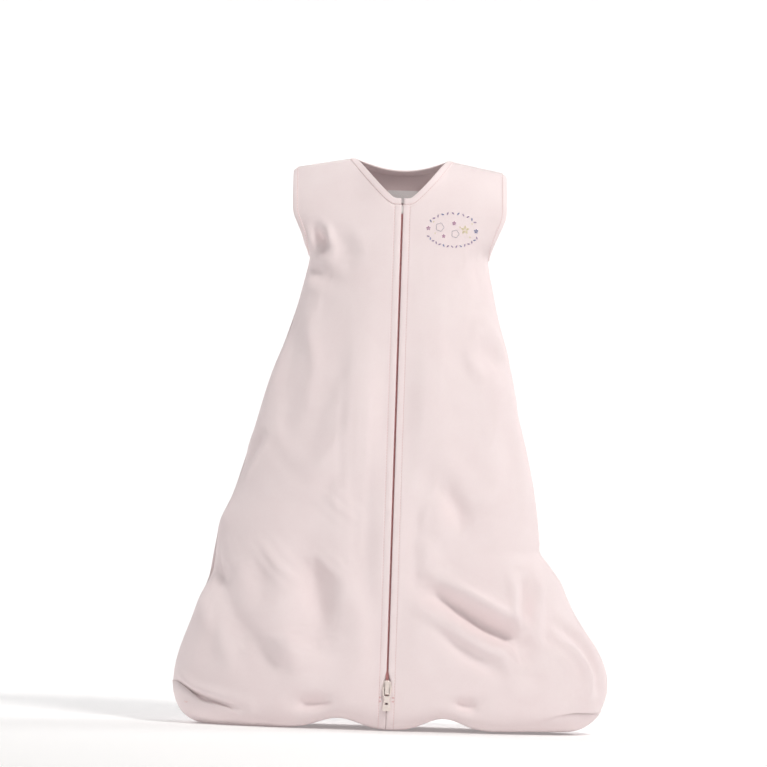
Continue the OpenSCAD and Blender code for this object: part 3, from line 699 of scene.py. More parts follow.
jersey = cottonJersey("cotton jersey, pale pink", "#f0dedf", "#faeeee")
rib = cottonJersey("jersey binding, pale pink", "#f2dfe0", "#fbefef", wale=0.9 * mm, sheen=0.45)
seamThread = spunThread("sewing thread, pale pink", "#e3bcbd", "#f0d2d1")
overlock = spunThread("overlock thread, pale pink", "#eccfce", "#f8e4e2")
tape = wovenTape("woven zip tape, rose", "#efb0b0", "#f8cccc")
stayTape = wovenTape("cotton stay tape, white", "#e6e0de", "#f6f2f0", rib=0.9 * mm, gloss=0.85)
ribbon = wovenTape("satin label ribbon, white", "#eceaea", "#ffffff", rib=0.4 * mm, gloss=0.35)
coilNylon = mouldedNylon("nylon coil, rose", "#eaa0a0", "#f6bfbe")
whiteAcetal = mouldedNylon("moulded acetal, white", "#e9e6e2", "#fbfaf8", rough=0.3)
enamel = bakedEnamel("baked enamel, cream", "#efe0d8", "#f9efe9")
springSteel = drawnSteel("spring steel")
print("materials made")

# ---- stage, camera and light
stage = {"wide": 5.0, "near": -3.2, "rise": 2.6, "bend": 0.7, "behind": 1.6, "glow": 0.12, "colour": "#f6f5f5"}


def backdropPoints():
    # floor that turns up into a wall on a quarter circle
    a = np.linspace(0, np.pi / 2, 13)
    wall = stage["behind"] + stage["bend"]
    y = np.concatenate([[stage["near"]], stage["behind"] + stage["bend"] * np.sin(a), [wall]])
    z = np.concatenate([[0], stage["bend"] * (1 - np.cos(a)), [stage["rise"]]])
    x = np.array([-stage["wide"] / 2, stage["wide"] / 2])
    return np.stack(np.broadcast_arrays(x[None, :], y[:, None], z[:, None]), axis=-1)


def makeStage():
    p = backdropPoints()
    made, surface = newMaterial("matt white paint", Roughness=0.9, Emission_Strength=stage["glow"])
    surface.inputs["Emission Color"].default_value = (1, 1, 1, 1)
    surface.inputs["Base Color"].default_value = linear(stage["colour"])
    grain = addNode(made, "ShaderNodeTexNoise", {"Scale": 60.0})
    raised(made, surface, grain.outputs["Fac"], 0.02, 0.2 * mm)
    # one-sided, so that the wall doesn't hide the bag's back
    side = addNode(made, "ShaderNodeNewGeometry")
    clear = addNode(made, "ShaderNodeBsdfTransparent")
    choice = addNode(made, "ShaderNodeMixShader", None,
                     {0: side.outputs["Backfacing"], 1: surface.outputs[0], 2: clear.outputs[0]})
    out = next(n for n in made.node_tree.nodes if n.type == "OUTPUT_MATERIAL")
    made.node_tree.links.new(choice.outputs[0], out.inputs["Surface"])
    floor = newPiece("floor", p, gridFaces(*p.shape[:2]), material=made)
    floor.parent = None


camera = {
    "aim": (-0.0139, 0.0, 0.364),     # middle of the frame, in the bag's own frame
    "away": 9.0,
    "high": 0.0,
    "lens": 400.0,                    # mm, on a 36 mm sensor
    "roll": -1.85,                    # degrees
}


def makeCamera():
    data = bpy.data.cameras.new("camera")
    data.lens, data.sensor_width = camera["lens"], 36.0
    obj = bpy.data.objects.new("camera", data)
    bpy.context.scene.collection.objects.link(obj)
    up = np.radians(camera["high"])
    aim = np.array(camera["aim"])
    obj.location = aim + camera["away"] * np.array([0, -np.cos(up), np.sin(up)])
    obj.rotation_mode = "XYZ"
    obj.rotation_euler = (np.pi / 2 - up, np.radians(camera["roll"]), 0)
    bpy.context.scene.camera = obj


lampAims = {"bag": (0, 0, 0.3), "backdrop": (0, 1.4, 0.6)}
lamps = [
    # name, place, what it lights, size, power, colour
    ("key", (1.1, -1.6, 2.15), "bag", 0.55, 41, "#fffdfa"),
    ("fill", (-1.9, -2.4, 1.3), "bag", 1.4, 12, "#fffcfa"),
    ("over", (0.2, 0.1, 2.4), "bag", 1.0, 5, "#ffffff"),
    ("backdropLeft", (-1.9, 1.0, 1.6), "backdrop", 1.2, 22, "#ffffff"),
    ("backdropRight", (1.9, 1.0, 1.6), "backdrop", 1.2, 22, "#ffffff"),
]
skyStrength = 0.13


def makeLights():
    for name, place, lit, size, power, colour in lamps:
        data = bpy.data.lights.new(name, "AREA")
        data.shape, data.size, data.energy, data.color = "DISK", size, power, linear(colour)[:3]
        obj = bpy.data.objects.new(name, data)
        bpy.context.scene.collection.objects.link(obj)
        obj.location = place
        towards = np.array(lampAims[lit]) - np.array(place)
        obj.rotation_mode = "XYZ"
        flat = np.hypot(towards[0], towards[1])
        obj.rotation_euler = (np.arctan2(flat, -towards[2]), 0, np.arctan2(-towards[0], towards[1]))
    world = bpy.data.worlds.new("studio")
    bpy.context.scene.world = world
    world.use_nodes = True
    sky = world.node_tree.nodes["Background"]
    sky.inputs["Color"].default_value = (1, 1, 1, 1)
    sky.inputs["Strength"].default_value = skyStrength


bpy.context.scene.view_settings.view_transform = "Standard"
makeCamera()
makeStage()
makeLights()
print("stage, camera and lights made")

# ---- cloth panels
cloth = {
    "thick": 0.9 * mm,
    "rows": 170,
    "cols": 74,
    "turnRows": 16,            # of the rows, those that turn under at the foot
    "spread": 3.4 * mm,        # how far the folded edges stand apart round the slider
    "spreadLow": 15 * mm,
    "spreadHigh": 17 * mm,
    "near": 0.15 * mm,         # how much closer the folded edges stand than their own profile
    "meet": 0.98 * mm,         # below the end stops the two folded edges lie against each other
    "meetBelow": 27 * mm,
    "meetWide": 9 * mm,
    "returnLift": -1.55 * mm,  # the fold's points up to this depth are the hidden return, which doesn't part
    "tuck": 1.1 * mm,          # how deep the side seam pulls the cloth in
    "tuckWide": 2.2 * mm,
    "kneeRise": 4 * mm,        # least height over which the cloth turns under
}
hem = {
    # height of the foot seam, from the middle out to the corners
    "middle": 1.2 * mm,
    "side": 24 * mm,
    "sideFrom": 118 * mm,
    "sideWide": 78 * mm,
    "corner": 20 * mm,
    "cornerFrom": 192 * mm,
    "cornerWide": 34 * mm,
    "backLeft": 24 * mm,
    "backRight": 44 * mm,
}
# The folded edge: x from the zip's middle and height off the face, from the hidden return to the stitching
foldProfile = np.array([(9.2, -1.5), (6.0, -1.6), (3.0, -1.6), (1.7, -1.55), (1.25, -1.3), (1.1, -0.9),
                        (1.15, -0.45), (1.4, -0.1), (1.9, 0.12), (2.8, 0.3), (4.0, 0.38), (5.4, 0.36),
                        (6.6, 0.2), (7.4, -0.1), (8.0, -0.42), (8.6, -0.12), (9.3, 0.02)]) * mm


def foldSpread(z):
    # the edges part round the slider and close again above and below it
    d = z - sliderAt[2]
    wide = np.where(d > 0, cloth["spreadHigh"], cloth["spreadLow"])
    closed = mix(cloth["near"], cloth["meet"], smooth((cloth["meetBelow"] - z) / cloth["meetWide"]))
    return cloth["spread"] * np.clip(1 - (d / wide) ** 2, 0, 1) ** 1.2 - closed


def lowerEdge(x):
    # height of the foot seam: under the bag in the middle, up at the corners, higher on the wearer's right
    a = np.abs(x)
    rise = mix(hem["middle"], hem["side"], smooth((a - hem["sideFrom"]) / hem["sideWide"]))
    corner = np.where(x < 0, hem["corner"], 0) * smooth((a - hem["cornerFrom"]) / hem["cornerWide"])
    return rise + corner


def rowShare(count):
    # rows crowd at the foot, where the cloth turns under, and at the top
    t = np.linspace(0, 1, count)
    return 0.72 * t + 0.28 * smooth(t)


def sideShare(count):
    # columns crowd towards the side seam, where the cloth turns
    return np.sin(np.linspace(0, np.pi / 2, count))


def underZ(low, top, count):
    # heights from low to top: quarter-circle steps up to the foot seam's height, then even with the rest
    turn = cloth["turnRows"]
    a = np.linspace(0, np.pi / 2, turn, endpoint=False)
    knee = np.maximum(seamZ, low + cloth["kneeRise"])
    first = low[..., None] + (knee - low)[..., None] * (1 - np.cos(a))
    k = rowShare(count - turn)
    rest = knee[..., None] + (top - knee)[..., None] * k
    return np.concatenate([first, rest], axis=-1)


def sideTuck(x, wide, z):
    # a soft line where the side seam pulls the cloth in
    return cloth["tuck"] * bump(wide - x, cloth["tuckWide"]) * (z < armpitZ)


def frontGrid(side):
    # grid of (x, z, height off the face): columns across from the folded edge's return to the side seam
    g = sideShare(cloth["cols"])
    edge = len(foldProfile)
    flat = zipCut["foldWidth"]
    topX = np.concatenate([foldProfile[:, 0], flat + (bag["shoulderHalf"] - flat) * g])
    lowX = np.concatenate([foldProfile[:, 0], flat + (halfWidth(np.array(20 * mm)) - flat) * g])
    top = np.where(topX < flat, neckZ, neckTop(topX, False))
    z = underZ(lowerEdge(side * lowX), top, cloth["rows"])
    wide = halfWidth(z)
    x = np.empty_like(z)
    x[edge:] = flat + (wide[edge:] - flat) * g[:, None]
    x[:edge] = foldProfile[:, :1]
    part = np.clip((zipCut["stitchX"] - x[:edge]) / (zipCut["stitchX"] - zipCut["foldGap"] / 2), 0, 1)
    x[:edge] += foldSpread(z[:edge]) * part * (foldProfile[:, 1:] > cloth["returnLift"])
    lift = np.zeros_like(z)
    lift[:edge] = foldProfile[:, 1:]
    lift[edge:] -= sideTuck(x[edge:], wide[edge:], z[edge:])
    return x * side, z, lift


def sheetUv(p):
    # across and up in metres along the cloth itself, so that the knit keeps its size
    return np.stack([arcLength(p, 0), arcLength(p, 1)], axis=-1)


def clothMesh(name, p, flip, material, replaced):
    uv = sheetUv(p)
    piece = newPiece(name, p, gridFaces(*p.shape[:2], flip=flip), uv, "bag", material)
    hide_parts(*replaced)
    return piece


# ---- settling: a short cloth simulation lets the sculpted panels buckle and hang, held along every sewn edge
settling = {
    "frames": 16,
    "extra": 0.035,            # the cloth is this much larger than the shape it starts from
    "loose": 0.045,            # how hard the middle of a panel is held to its sculpted shape, 1 is pinned
    "reach": 7.0 * mm,         # the most that it may move
    "soften": 5,               # passes that round off the sharpest creases
    "gap": 1.2 * mm,
    "formLow": 8 * mm,         # the form inside: its lowest ring, and how much smaller it is than the bag
    "formTop": 0.97,
    "formWide": 0.985,
    "formIn": 4.5 * mm,
    "quality": 5,
    "mass": 0.15,
    "damping": 3.0,
    "stretch": 14.0,
    "shear": 6.0,
    "bend": 0.35,
}
chest = {"x": 55 * mm, "z": 527.5 * mm}       # middle of the embroidery


def heldShare(x, z, back):
    # 1 at the sewn edges, beside the zip and under the embroidery, falling to the loose middle
    a = np.abs(x)
    far = [(halfWidth(z) - a - 5 * mm) / (26 * mm), (neckTop(a, back) - z - 14 * mm) / (45 * mm),
           (z - 34 * mm) / (40 * mm)]
    hole = np.hypot(bag["shoulderHalf"] - a, z - armholeZ) - bag["armholeHigh"] / 2
    far.append(np.where(z > armpitZ - 40 * mm, hole / (40 * mm), 1.0))
    if not back:
        far.append((a - 22 * mm) / (34 * mm))
        oval = np.hypot((x - chest["x"]) / 1.5, z - chest["z"]) - 26 * mm
        far.append(oval / (22 * mm))
    return mix(1.0, settling["loose"], smooth(np.min(far, axis=0)))


def formMesh():
    # what fills the bag while it settles: the plain shape, a little smaller
    t = np.linspace(0, 1, 40)
    k = np.sin(np.linspace(-np.pi / 2, np.pi / 2, 41))
    sides = []
    for back in (False, True):
        top = settling["formTop"] * neckTop(np.abs(k) * bag["shoulderHalf"], back)[:, None]
        z = mix(settling["formLow"], top, t[None])
        x = halfWidth(z) * settling["formWide"] * k[:, None]
        sides.append(skin(x, z, back, -settling["formIn"], True)[0])
    p = np.concatenate([sides[0], sides[1][::-1]])
    form = newPiece("form", p, gridFaces(*p.shape[:2], wrapRows=True, flip=True))
    form.parent = None
    return form


def settle(panels):
    # panels are (piece, held share of each vertex); all settle together, then keep the shape they reached
    scene = bpy.context.scene
    form = formMesh()
    form.modifiers.new("inside", "COLLISION")
    form.collision.thickness_outer = settling["gap"]
    for piece, held in panels:
        group = piece.vertex_groups.new(name="held")
        level = np.round(held.ravel() * 40) / 40
        for value in np.unique(level):
            group.add(np.flatnonzero(level == value).tolist(), max(float(value), 0.01), "REPLACE")
        drape = piece.modifiers.new("drape", "CLOTH")
        rule = drape.settings
        rule.quality, rule.mass, rule.air_damping = settling["quality"], settling["mass"], settling["damping"]
        rule.tension_stiffness = rule.compression_stiffness = settling["stretch"]
        rule.shear_stiffness, rule.bending_stiffness = settling["shear"], settling["bend"]
        rule.vertex_group_mass, rule.pin_stiffness = "held", 1.0
        rule.shrink_min = -settling["extra"]
        drape.collision_settings.distance_min = settling["gap"]
        drape.collision_settings.use_self_collision = False
        drape.point_cache.frame_start, drape.point_cache.frame_end = 1, settling["frames"]
    for frameNumber in range(1, settling["frames"] + 1):
        scene.frame_set(frameNumber)
    graph = bpy.context.evaluated_depsgraph_get()
    for piece, held in panels:
        count = len(piece.data.vertices)
        start, after = np.empty(count * 3, np.float32), np.empty(count * 3, np.float32)
        piece.data.vertices.foreach_get("co", start)
        piece.evaluated_get(graph).data.vertices.foreach_get("co", after)
        move = (after - start).reshape(-1, 3)
        far = np.linalg.norm(move, axis=1, keepdims=True)
        move *= np.tanh(far / settling["reach"]) * settling["reach"] / np.maximum(far, 1e-9)
        most, mean = (round(float(v) / mm, 2) for v in (far.max(), far.mean()))
        print(piece.name, "pulled by up to", most, "mm, mean", mean, "before the limit on how far it may move")
        grid = move.reshape(*held.shape, 3)
        for _ in range(settling["soften"]):
            grid[1:-1] = (grid[:-2] + 2 * grid[1:-1] + grid[2:]) / 4
            grid[:, 1:-1] = (grid[:, :-2] + 2 * grid[:, 1:-1] + grid[:, 2:]) / 4
        moved = start + grid.ravel()
        piece.modifiers.remove(piece.modifiers["drape"])
        piece.vertex_groups.clear()
        piece.data.vertices.foreach_set("co", moved.astype(np.float32))
        piece.data.update()
    scene.frame_set(1)
    bpy.data.objects.remove(form)


panels = []
for sideName, side in (("left", 1), ("right", -1)):
    x, z, lift = frontGrid(side)
    p, n = skin(x, z, False, lift)
    piece = clothMesh(f"front_cloth_{sideName}", p, side > 0, jersey,
                      [f"front_panel_{sideName}", f"placket_{sideName}"])
    panels.append((piece, heldShare(x, z, False)))
print("front cloth made")


def backGrid():
    g = sideShare(cloth["cols"])
    both = np.concatenate([-g[::-1], g[1:]])
    a = np.abs(both)
    topX = bag["shoulderHalf"] * a
    # at the back the seam stands higher in the corners
    low = np.where(both < 0, hem["backRight"], hem["backLeft"]) * smooth((a - 0.93) / 0.05)
    low = np.maximum(low, seamZ)
    z = underZ(low, neckTop(topX, True), cloth["rows"])
    x = halfWidth(z) * both[:, None]
    lift = -sideTuck(np.abs(x), halfWidth(z), z)
    return x, z, lift


x, z, lift = backGrid()
p, n = skin(x, z, True, lift)
backCloth = clothMesh("back_cloth", p, False, jersey, ["back_panel"])
panels.append((backCloth, heldShare(x, z, True)))
print("back cloth made")
settle(panels)
for piece, held in panels:
    thicken(piece, cloth["thick"], -1.0)


def footGrid():
    # rings round the foot: from the seam, turned under, then flat to the middle
    around = np.linspace(0, 2 * np.pi, 241)[:-1]
    frontHalf = np.sin(around) < 0
    bigX = bag["footHalf"] * np.cos(around)
    top = np.where(frontHalf, np.maximum(lowerEdge(bigX), 1.0 * mm), seamZ)
    top = np.where(~frontHalf & (bigX < 0), np.maximum(top, lowerEdge(bigX)), top)
    a = np.linspace(np.pi / 2, 0.06, 12)
    near, above = np.minimum(top[None], seamZ), np.maximum(0, top - seamZ)[None]
    z = near * (1 - np.cos(a))[:, None] + above * (a / a[0])[:, None] ** 6
    wide = halfWidth(z)
    depth = np.where(frontHalf, frontDepth(z), backDepth(z))
    x = wide * np.cos(around)
    y = depth * np.sign(np.sin(around)) * np.abs(np.sin(around)) ** bag["fullness"]
    shell = np.stack([x, y, z], axis=-1)
    shrink = np.linspace(0.96, 0.04, 12)[:, None, None]
    base = shell[-1][None] * np.array([1, 1, 0]) * shrink
    base[..., 2] = 0.15 * mm
    return hangOver(np.concatenate([shell, base]))


p = footGrid()
uv = p[..., :2].copy()
quads = gridFaces(p.shape[0], p.shape[1], wrapCols=True, flip=True)
cap = np.arange(p.shape[1]) + (p.shape[0] - 1) * p.shape[1]
foot = newPiece("foot_cloth", p, [*quads, cap[::-1]], uv, "bag", jersey)
thicken(foot, cloth["thick"], -1.0)
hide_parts("foot_panel")
print("foot cloth made")


# ---- bindings: a folded strip of jersey carried along the edge
def bandProfile(outer, inner, puff, thick):
    # closed loop: across the face from the edge's fold to the stitched side, and back inside
    t = np.linspace(0, 1, 9)
    arch = np.sin(np.pi * np.clip(t * 0.9 + 0.06, 0, 1)) ** 0.6
    face = np.stack([mix(outer, inner, t), puff * arch + 0.25 * mm], axis=1)
    face[-1, 1] = -0.1 * mm
    behind = np.stack([mix(inner, outer, t), -thick - 0.5 * puff * np.sin(np.pi * t) ** 0.7], axis=1)
    turn = np.linspace(-np.pi / 2, np.pi / 2, 6)[1:-1]
    middle = (face[0, 1] - thick) / 2
    roundEnd = np.stack([outer - (face[0, 1] + thick) / 2 * np.cos(turn),
                         middle + (face[0, 1] + thick) / 2 * np.sin(turn)], axis=1)
    return np.concatenate([face, behind, roundEnd])


def pathFrames(path, normals, closed):
    # outward direction square to an edge, and the direction into the cloth, at each of its points
    if closed:
        t = unit(np.roll(path, -1, axis=0) - np.roll(path, 1, axis=0))
    else:
        t = unit(np.gradient(path, axis=0))
    n = unit(normals - t * (normals * t).sum(1)[:, None])
    return n, unit(np.cross(n, t))


def sweepBand(name, path, normals, into, profile, closed, node):
    p = path[:, None] + profile[None, :, :1] * into[:, None] + profile[None, :, 1:] * normals[:, None]
    run = arcLength(path[:, None], 0)[:, 0]
    uv = np.stack(np.broadcast_arrays(runAlong(profile)[None, :], run[:, None]), axis=-1)
    faces = list(gridFaces(len(path), len(profile), wrapRows=closed, wrapCols=True, flip=True))
    if not closed:
        faces += [np.arange(len(profile)), np.arange(len(profile))[::-1] + (len(path) - 1) * len(profile)]
    return addPart(name, (p, facingOut(p, faces)), rib, [node], uv)


def neckPath():
    k = np.linspace(0, 1, 60)
    front = mix(zipCut["foldGap"] / 2 + 0.2 * mm, bag["neckHalf"], k**0.8)
    zFront = neckTop(front, False) - 0.05 * mm
    pf, nf = skin(front, zFront, False)
    pr, nr = skin(-front, zFront, False)
    back = bag["neckHalf"] * np.cos(np.linspace(0, np.pi, 81))[1:-1]
    zBack = neckTop(np.abs(back), True)
    pb, nb = skin(back, zBack, True)
    path = np.concatenate([pf, pb, pr[::-1]])
    normals = np.concatenate([nf, nb, nr[::-1]])
    return path, normals


def evenly(path, normals, step, closed=False):
    # the same path with even steps
    if closed:
        path, normals = (np.concatenate([a, a[:1]]) for a in (path, normals))
    s = runAlong(path)
    q = np.linspace(0, s[-1], int(s[-1] / step) + 1)
    q = q[:-1] if closed else q
    return valuesAt(q, s, path), unit(valuesAt(q, s, normals))


def soften(a, times, closed):
    # each point moves to the middle of its neighbours
    for _ in range(times):
        if closed:
            a = 0.5 * a + 0.25 * (np.roll(a, 1, axis=0) + np.roll(a, -1, axis=0))
        else:
            a = np.concatenate([a[:1], 0.5 * a[1:-1] + 0.25 * (a[:-2] + a[2:]), a[-1:]])
    return a


binding = {
    "neckOut": -5.4 * mm,      # across the edge, outward is minus
    "neckIn": 1.0 * mm,
    "armOut": -4.2 * mm,
    "armIn": 0.9 * mm,
    "puff": 0.5 * mm,
    "behind": 0.4 * mm,        # how far behind the cloth the inner side lies
    "rowIn": 0.1 * mm,         # the stitches, into the cloth and off its face
    "rowUp": 0.62 * mm,
}
stitching = {"long": 2.5 * mm, "gap": 0.5 * mm, "thick": 0.42 * mm}


def bindEdge(place, path, n, into, outer, inner, closed):
    # the folded strip over an edge; gives back the stitches that hold it
    profile = bandProfile(outer, inner, binding["puff"], cloth["thick"] + binding["behind"])
    name = f"{place[0]}_binding_cloth{place[1]}"
    sweepBand(name, path, n, into, profile, closed, f"{place[0]}_binding{place[1]}")
    row = path + into * binding["rowIn"] + n * binding["rowUp"]
    if closed:
        row, n = (np.concatenate([a, a[:1]]) for a in (row, n))
    return stitchRow(row, n, stitching["long"], stitching["gap"], stitching["thick"])


path, normals = evenly(*neckPath(), 2.5 * mm)
normals = unit(soften(normals, 6, False))
path = soften(path, 3, False)
n, into = pathFrames(path, normals, False)
if into[0, 2] > 0:
    into = -into
stitchParts = [bindEdge(("neck", ""), path, n, into, binding["neckOut"], binding["neckIn"], False)]

for sideName, side in (("left", 1), ("right", -1)):
    a = np.linspace(-np.pi / 2, 1.5 * np.pi, 161)[:-1]
    z = armholeZ + bag["armholeHigh"] / 2 * np.sin(a)
    x = halfWidth(z) * side
    isBack = (np.cos(a) > 0)[:, None]
    pf, nf = skin(x, z, False)
    pb, nb = skin(x, z, True)
    path, normals = evenly(np.where(isBack, pb, pf), np.where(isBack, nb, nf), 2.5 * mm, True)
    normals = unit(soften(normals, 8, True))
    path = soften(path, 4, True)
    n, into = pathFrames(path, normals, True)
    if ((path - path.mean(axis=0)) * into).sum() < 0:
        into = -into
    place = ("armhole", f"_{sideName}")
    stitchParts.append(bindEdge(place, path, n, into, binding["armOut"], binding["armIn"], True))
addPart("binding_stitches", joinParts(stitchParts), seamThread)
print("bindings made")


# ---- topstitching beside the zip, carried round the hem
def zipStitchLine(side):
    turned = seamZ * (1 - np.cos(np.linspace(0.35, np.pi / 2, 14)))
    z = np.concatenate([turned, np.linspace(seamZ, neckZ - 2 * mm, 200)[1:]])
    return skin(np.full_like(z, side * zipCut["stitchX"]), z, False, -0.25 * mm)


for sideName, side in (("left", 1), ("right", -1)):
    p, n = zipStitchLine(side)
    row = stitchRow(p, n, stitching["long"], stitching["gap"], stitching["thick"])
    addPart(f"topstitching_{sideName}", row, seamThread, [f"topstitch_{sideName}"])

tacks = {"from": 5.2 * mm, "to": 8.2 * mm, "places": (-10.5 * mm, -14.5 * mm), "rows": 5, "pitch": 0.32 * mm}
parts = []
for side in (1, -1):
    for place in tacks["places"]:
        u = sliderU + place + (np.arange(tacks["rows"]) - 2) * tacks["pitch"]
        v = zipCut["foldOut"] + 0.32 * mm
        a = zipPoint(side * tacks["from"], v, u + 0.15 * mm)
        b = zipPoint(side * tacks["to"], v - 0.15 * mm, u - 0.15 * mm)
        parts.append(capsules(a, b, np.broadcast_to(zipOut, a.shape), 0.4 * mm, 0.1))
addPart("bar_tack_stitches", joinParts(parts), seamThread, ["bar_tacks"])
print("topstitching made")

# ---- zip
zipLine = {"pitch": 1.3 * mm, "wire": 0.6 * mm, "high": 1.15 * mm}
zipLong = (neckZ - seamZ) / cosLean
boxU = zipLong - 9 * mm
stopU = sliderU - 7.8 * mm


def tapeMesh(side):
    # a strip with rounded edges, slightly rippled along its free edge
    u = np.linspace(1 * mm, zipLong - 0.5 * mm, 230)
    xs = np.array([0.8, 1.0, 5, 9, 12, 13.6, 13.9, 13.9, 13.6, 12, 9, 5, 1.0, 0.8]) * mm
    upper = np.array([0.1, 0.25, 0.25, 0.25, 0.25, 0.25, 0.12])
    vs = np.concatenate([upper, -upper[::-1]]) * mm
    free = smooth((xs - 4 * mm) / (10 * mm))
    wave = 0.25 * mm * np.sin(u / (7 * mm))[:, None] * free[None]
    p = zipPoint(side * xs[None], vs[None] + wave, u[:, None])
    faces = list(gridFaces(len(u), len(xs), wrapCols=True, flip=side > 0))
    ends = [np.arange(len(xs)), np.arange(len(xs))[::-1] + (len(u) - 1) * len(xs)]
    return p, facingOut(p, faces + (ends if side > 0 else [e[::-1] for e in ends]))


def coilMesh(side, start, stop):
    # one loop of monofilament for each turn: over the front, round the head, back behind
    count = int((stop - start) / zipLine["pitch"])
    t = np.linspace(0, 1, 11)
    x = zipCut["coilOuter"] - (zipCut["coilOuter"] + 0.35 * mm) * np.sin(np.pi * t) ** 0.7
    v = zipLine["high"] * np.cos(np.pi * t) * (0.7 + 0.3 * np.sin(np.pi * t))
    u = (t - 0.5) * zipLine["pitch"] * 0.6
    a = np.arange(6) * 2 * np.pi / 6
    line = np.stack([x, v, u], axis=1)
    run = unit(np.gradient(line, axis=0))
    b1 = unit(np.cross(run, np.array([0, 0, 1.0])))
    b2 = np.cross(run, b1)
    wide = zipLine["wire"] / 2 * (1 + 0.35 * bump(t - 0.5, 0.12))
    spokes = np.cos(a)[None, :, None] * b1[:, None] + np.sin(a)[None, :, None] * b2[:, None]
    ring = line[:, None] + wide[:, None, None] * spokes
    along = start + (np.arange(count) + (0.5 if side > 0 else 0.0)) * zipLine["pitch"]
    pts = zipPoint(side * ring[None, ..., 0], ring[None, ..., 1], ring[None, ..., 2] + along[:, None, None])
    per = len(t) * len(a)
    quads = repeated(gridFaces(len(t), len(a), wrapCols=True, flip=side > 0), count, per)
    ends = np.stack([np.arange(6), np.arange(6)[::-1] + (len(t) - 1) * 6])
    ends = ends if side > 0 else ends[:, ::-1]
    return pts, [*quads, *repeated(ends, count, per)]


for sideName, side in (("left", 1), ("right", -1)):
    addPart(f"zip_tape_cloth_{sideName}", tapeMesh(side), tape, [f"zip_tape_{sideName}"])
    addPart(f"zip_coil_turns_{sideName}", coilMesh(side, stopU, boxU), coilNylon,
            [f"zip_coil_{sideName}"])
print("zip made")


# ---- slider and pull tab
def smoothOutline(corners, n=96):
    # closed Catmull-Rom curve through the corners
    c = np.array(corners, float)
    k = len(c)
    t = np.linspace(0, k, n, endpoint=False)
    i = t.astype(int)
    f = (t - i)[:, None]
    p0, p1, p2, p3 = c[(i - 1) % k], c[i], c[(i + 1) % k], c[(i + 2) % k]
    curve = (2 * p0 - 5 * p1 + 4 * p2 - p3) * f**2
    return 0.5 * (2 * p1 + (p2 - p0) * f + curve + (3 * p1 - p0 - 3 * p2 + p3) * f**3)


def insetOutline(o, d):
    t = unit(np.roll(o, -1, axis=0) - np.roll(o, 1, axis=0))
    inward = np.stack([-t[:, 1], t[:, 0]], axis=1)
    area = 0.5 * (o[:, 0] * np.roll(o[:, 1], -1) - np.roll(o[:, 0], -1) * o[:, 1]).sum()
    return o + inward * d * np.sign(area)


def mirrored(right):
    # a closed outline from its right half, given from the middle above to the middle below
    return right + [(-x, u) for x, u in right[-2:0:-1]]


def roundedRings(outline, low, high, edge):
    # the outline from low to high with quarter-round edges: its rings and their heights
    a = np.linspace(0, np.pi / 2, 5)
    rings, heights = [], []
    for k in a:
        rings.append(insetOutline(outline, edge * (1 - np.sin(k))))
        heights.append(low + edge * (1 - np.cos(k)))
    for k in a[::-1]:
        rings.append(insetOutline(outline, edge * (1 - np.sin(k))))
        heights.append(high - edge * (1 - np.cos(k)))
    return rings, heights


def roundedPlate(outline, low, high, edge, place, domed=0.0):
    # a plate with a slightly domed upper face; place puts (a, b, height) in the frame
    rings, heights = roundedRings(outline, low, high, edge)
    for share in (0.75, 0.45, 0.15):
        rings.append(rings[9] * share + outline.mean(axis=0) * (1 - share))
        heights.append(high + domed * (1 - share**2))
    n = len(outline)
    p = np.concatenate([place(r[:, 0], r[:, 1], np.full(n, h)) for r, h in zip(rings, heights)])
    return p, [*gridFaces(len(rings), n, wrapCols=True), *endCaps(len(rings), n)]


def ringPlate(outer, inner, low, high, edge, place):
    # flat ring between two outlines of the same count, its edges rounded
    s = np.array([0.0, 0.0, 0.3, 1.0, -1.0, -0.3, 0.0, 0.0, -0.3, -1.0, 1.0, 0.3])
    side = np.array([0, 0, 0, 0, 1, 1, 1, 1, 1, 1, 0, 0])
    h = np.array([low + edge, high - edge, high - 0.3 * edge, high, high, high - 0.3 * edge, high - edge,
                  low + edge, low + 0.3 * edge, low, low, low + 0.3 * edge])
    gap = inner - outer
    wide = np.linalg.norm(gap, axis=1)[:, None]
    way = gap / np.maximum(wide, 1e-9)
    e = np.minimum(edge, wide * 0.3)
    cols = []
    for k in range(12):
        base = inner if side[k] else outer
        xy = base + way * e * s[k]
        cols.append(place(xy[:, 0], xy[:, 1], np.full(len(outer), h[k])))
    p = np.stack(cols, axis=1)
    return p, facingOut(p, list(gridFaces(len(outer), 12, wrapRows=True, wrapCols=True)))


slider = {
    "long": 15 * mm, "wide": 9.7 * mm, "plateLow": 3.5 * mm, "plateHigh": 4.7 * mm,
    "underHigh": -1.6 * mm, "underLow": -3.0 * mm, "capWide": 4.2 * mm, "capHigh": 8.2 * mm,
}


def onSlider(x, u, v):
    return zipPoint(x, v, u + sliderU)


def acrossSlider(u, v, x):
    return zipPoint(x, v, u + sliderU)


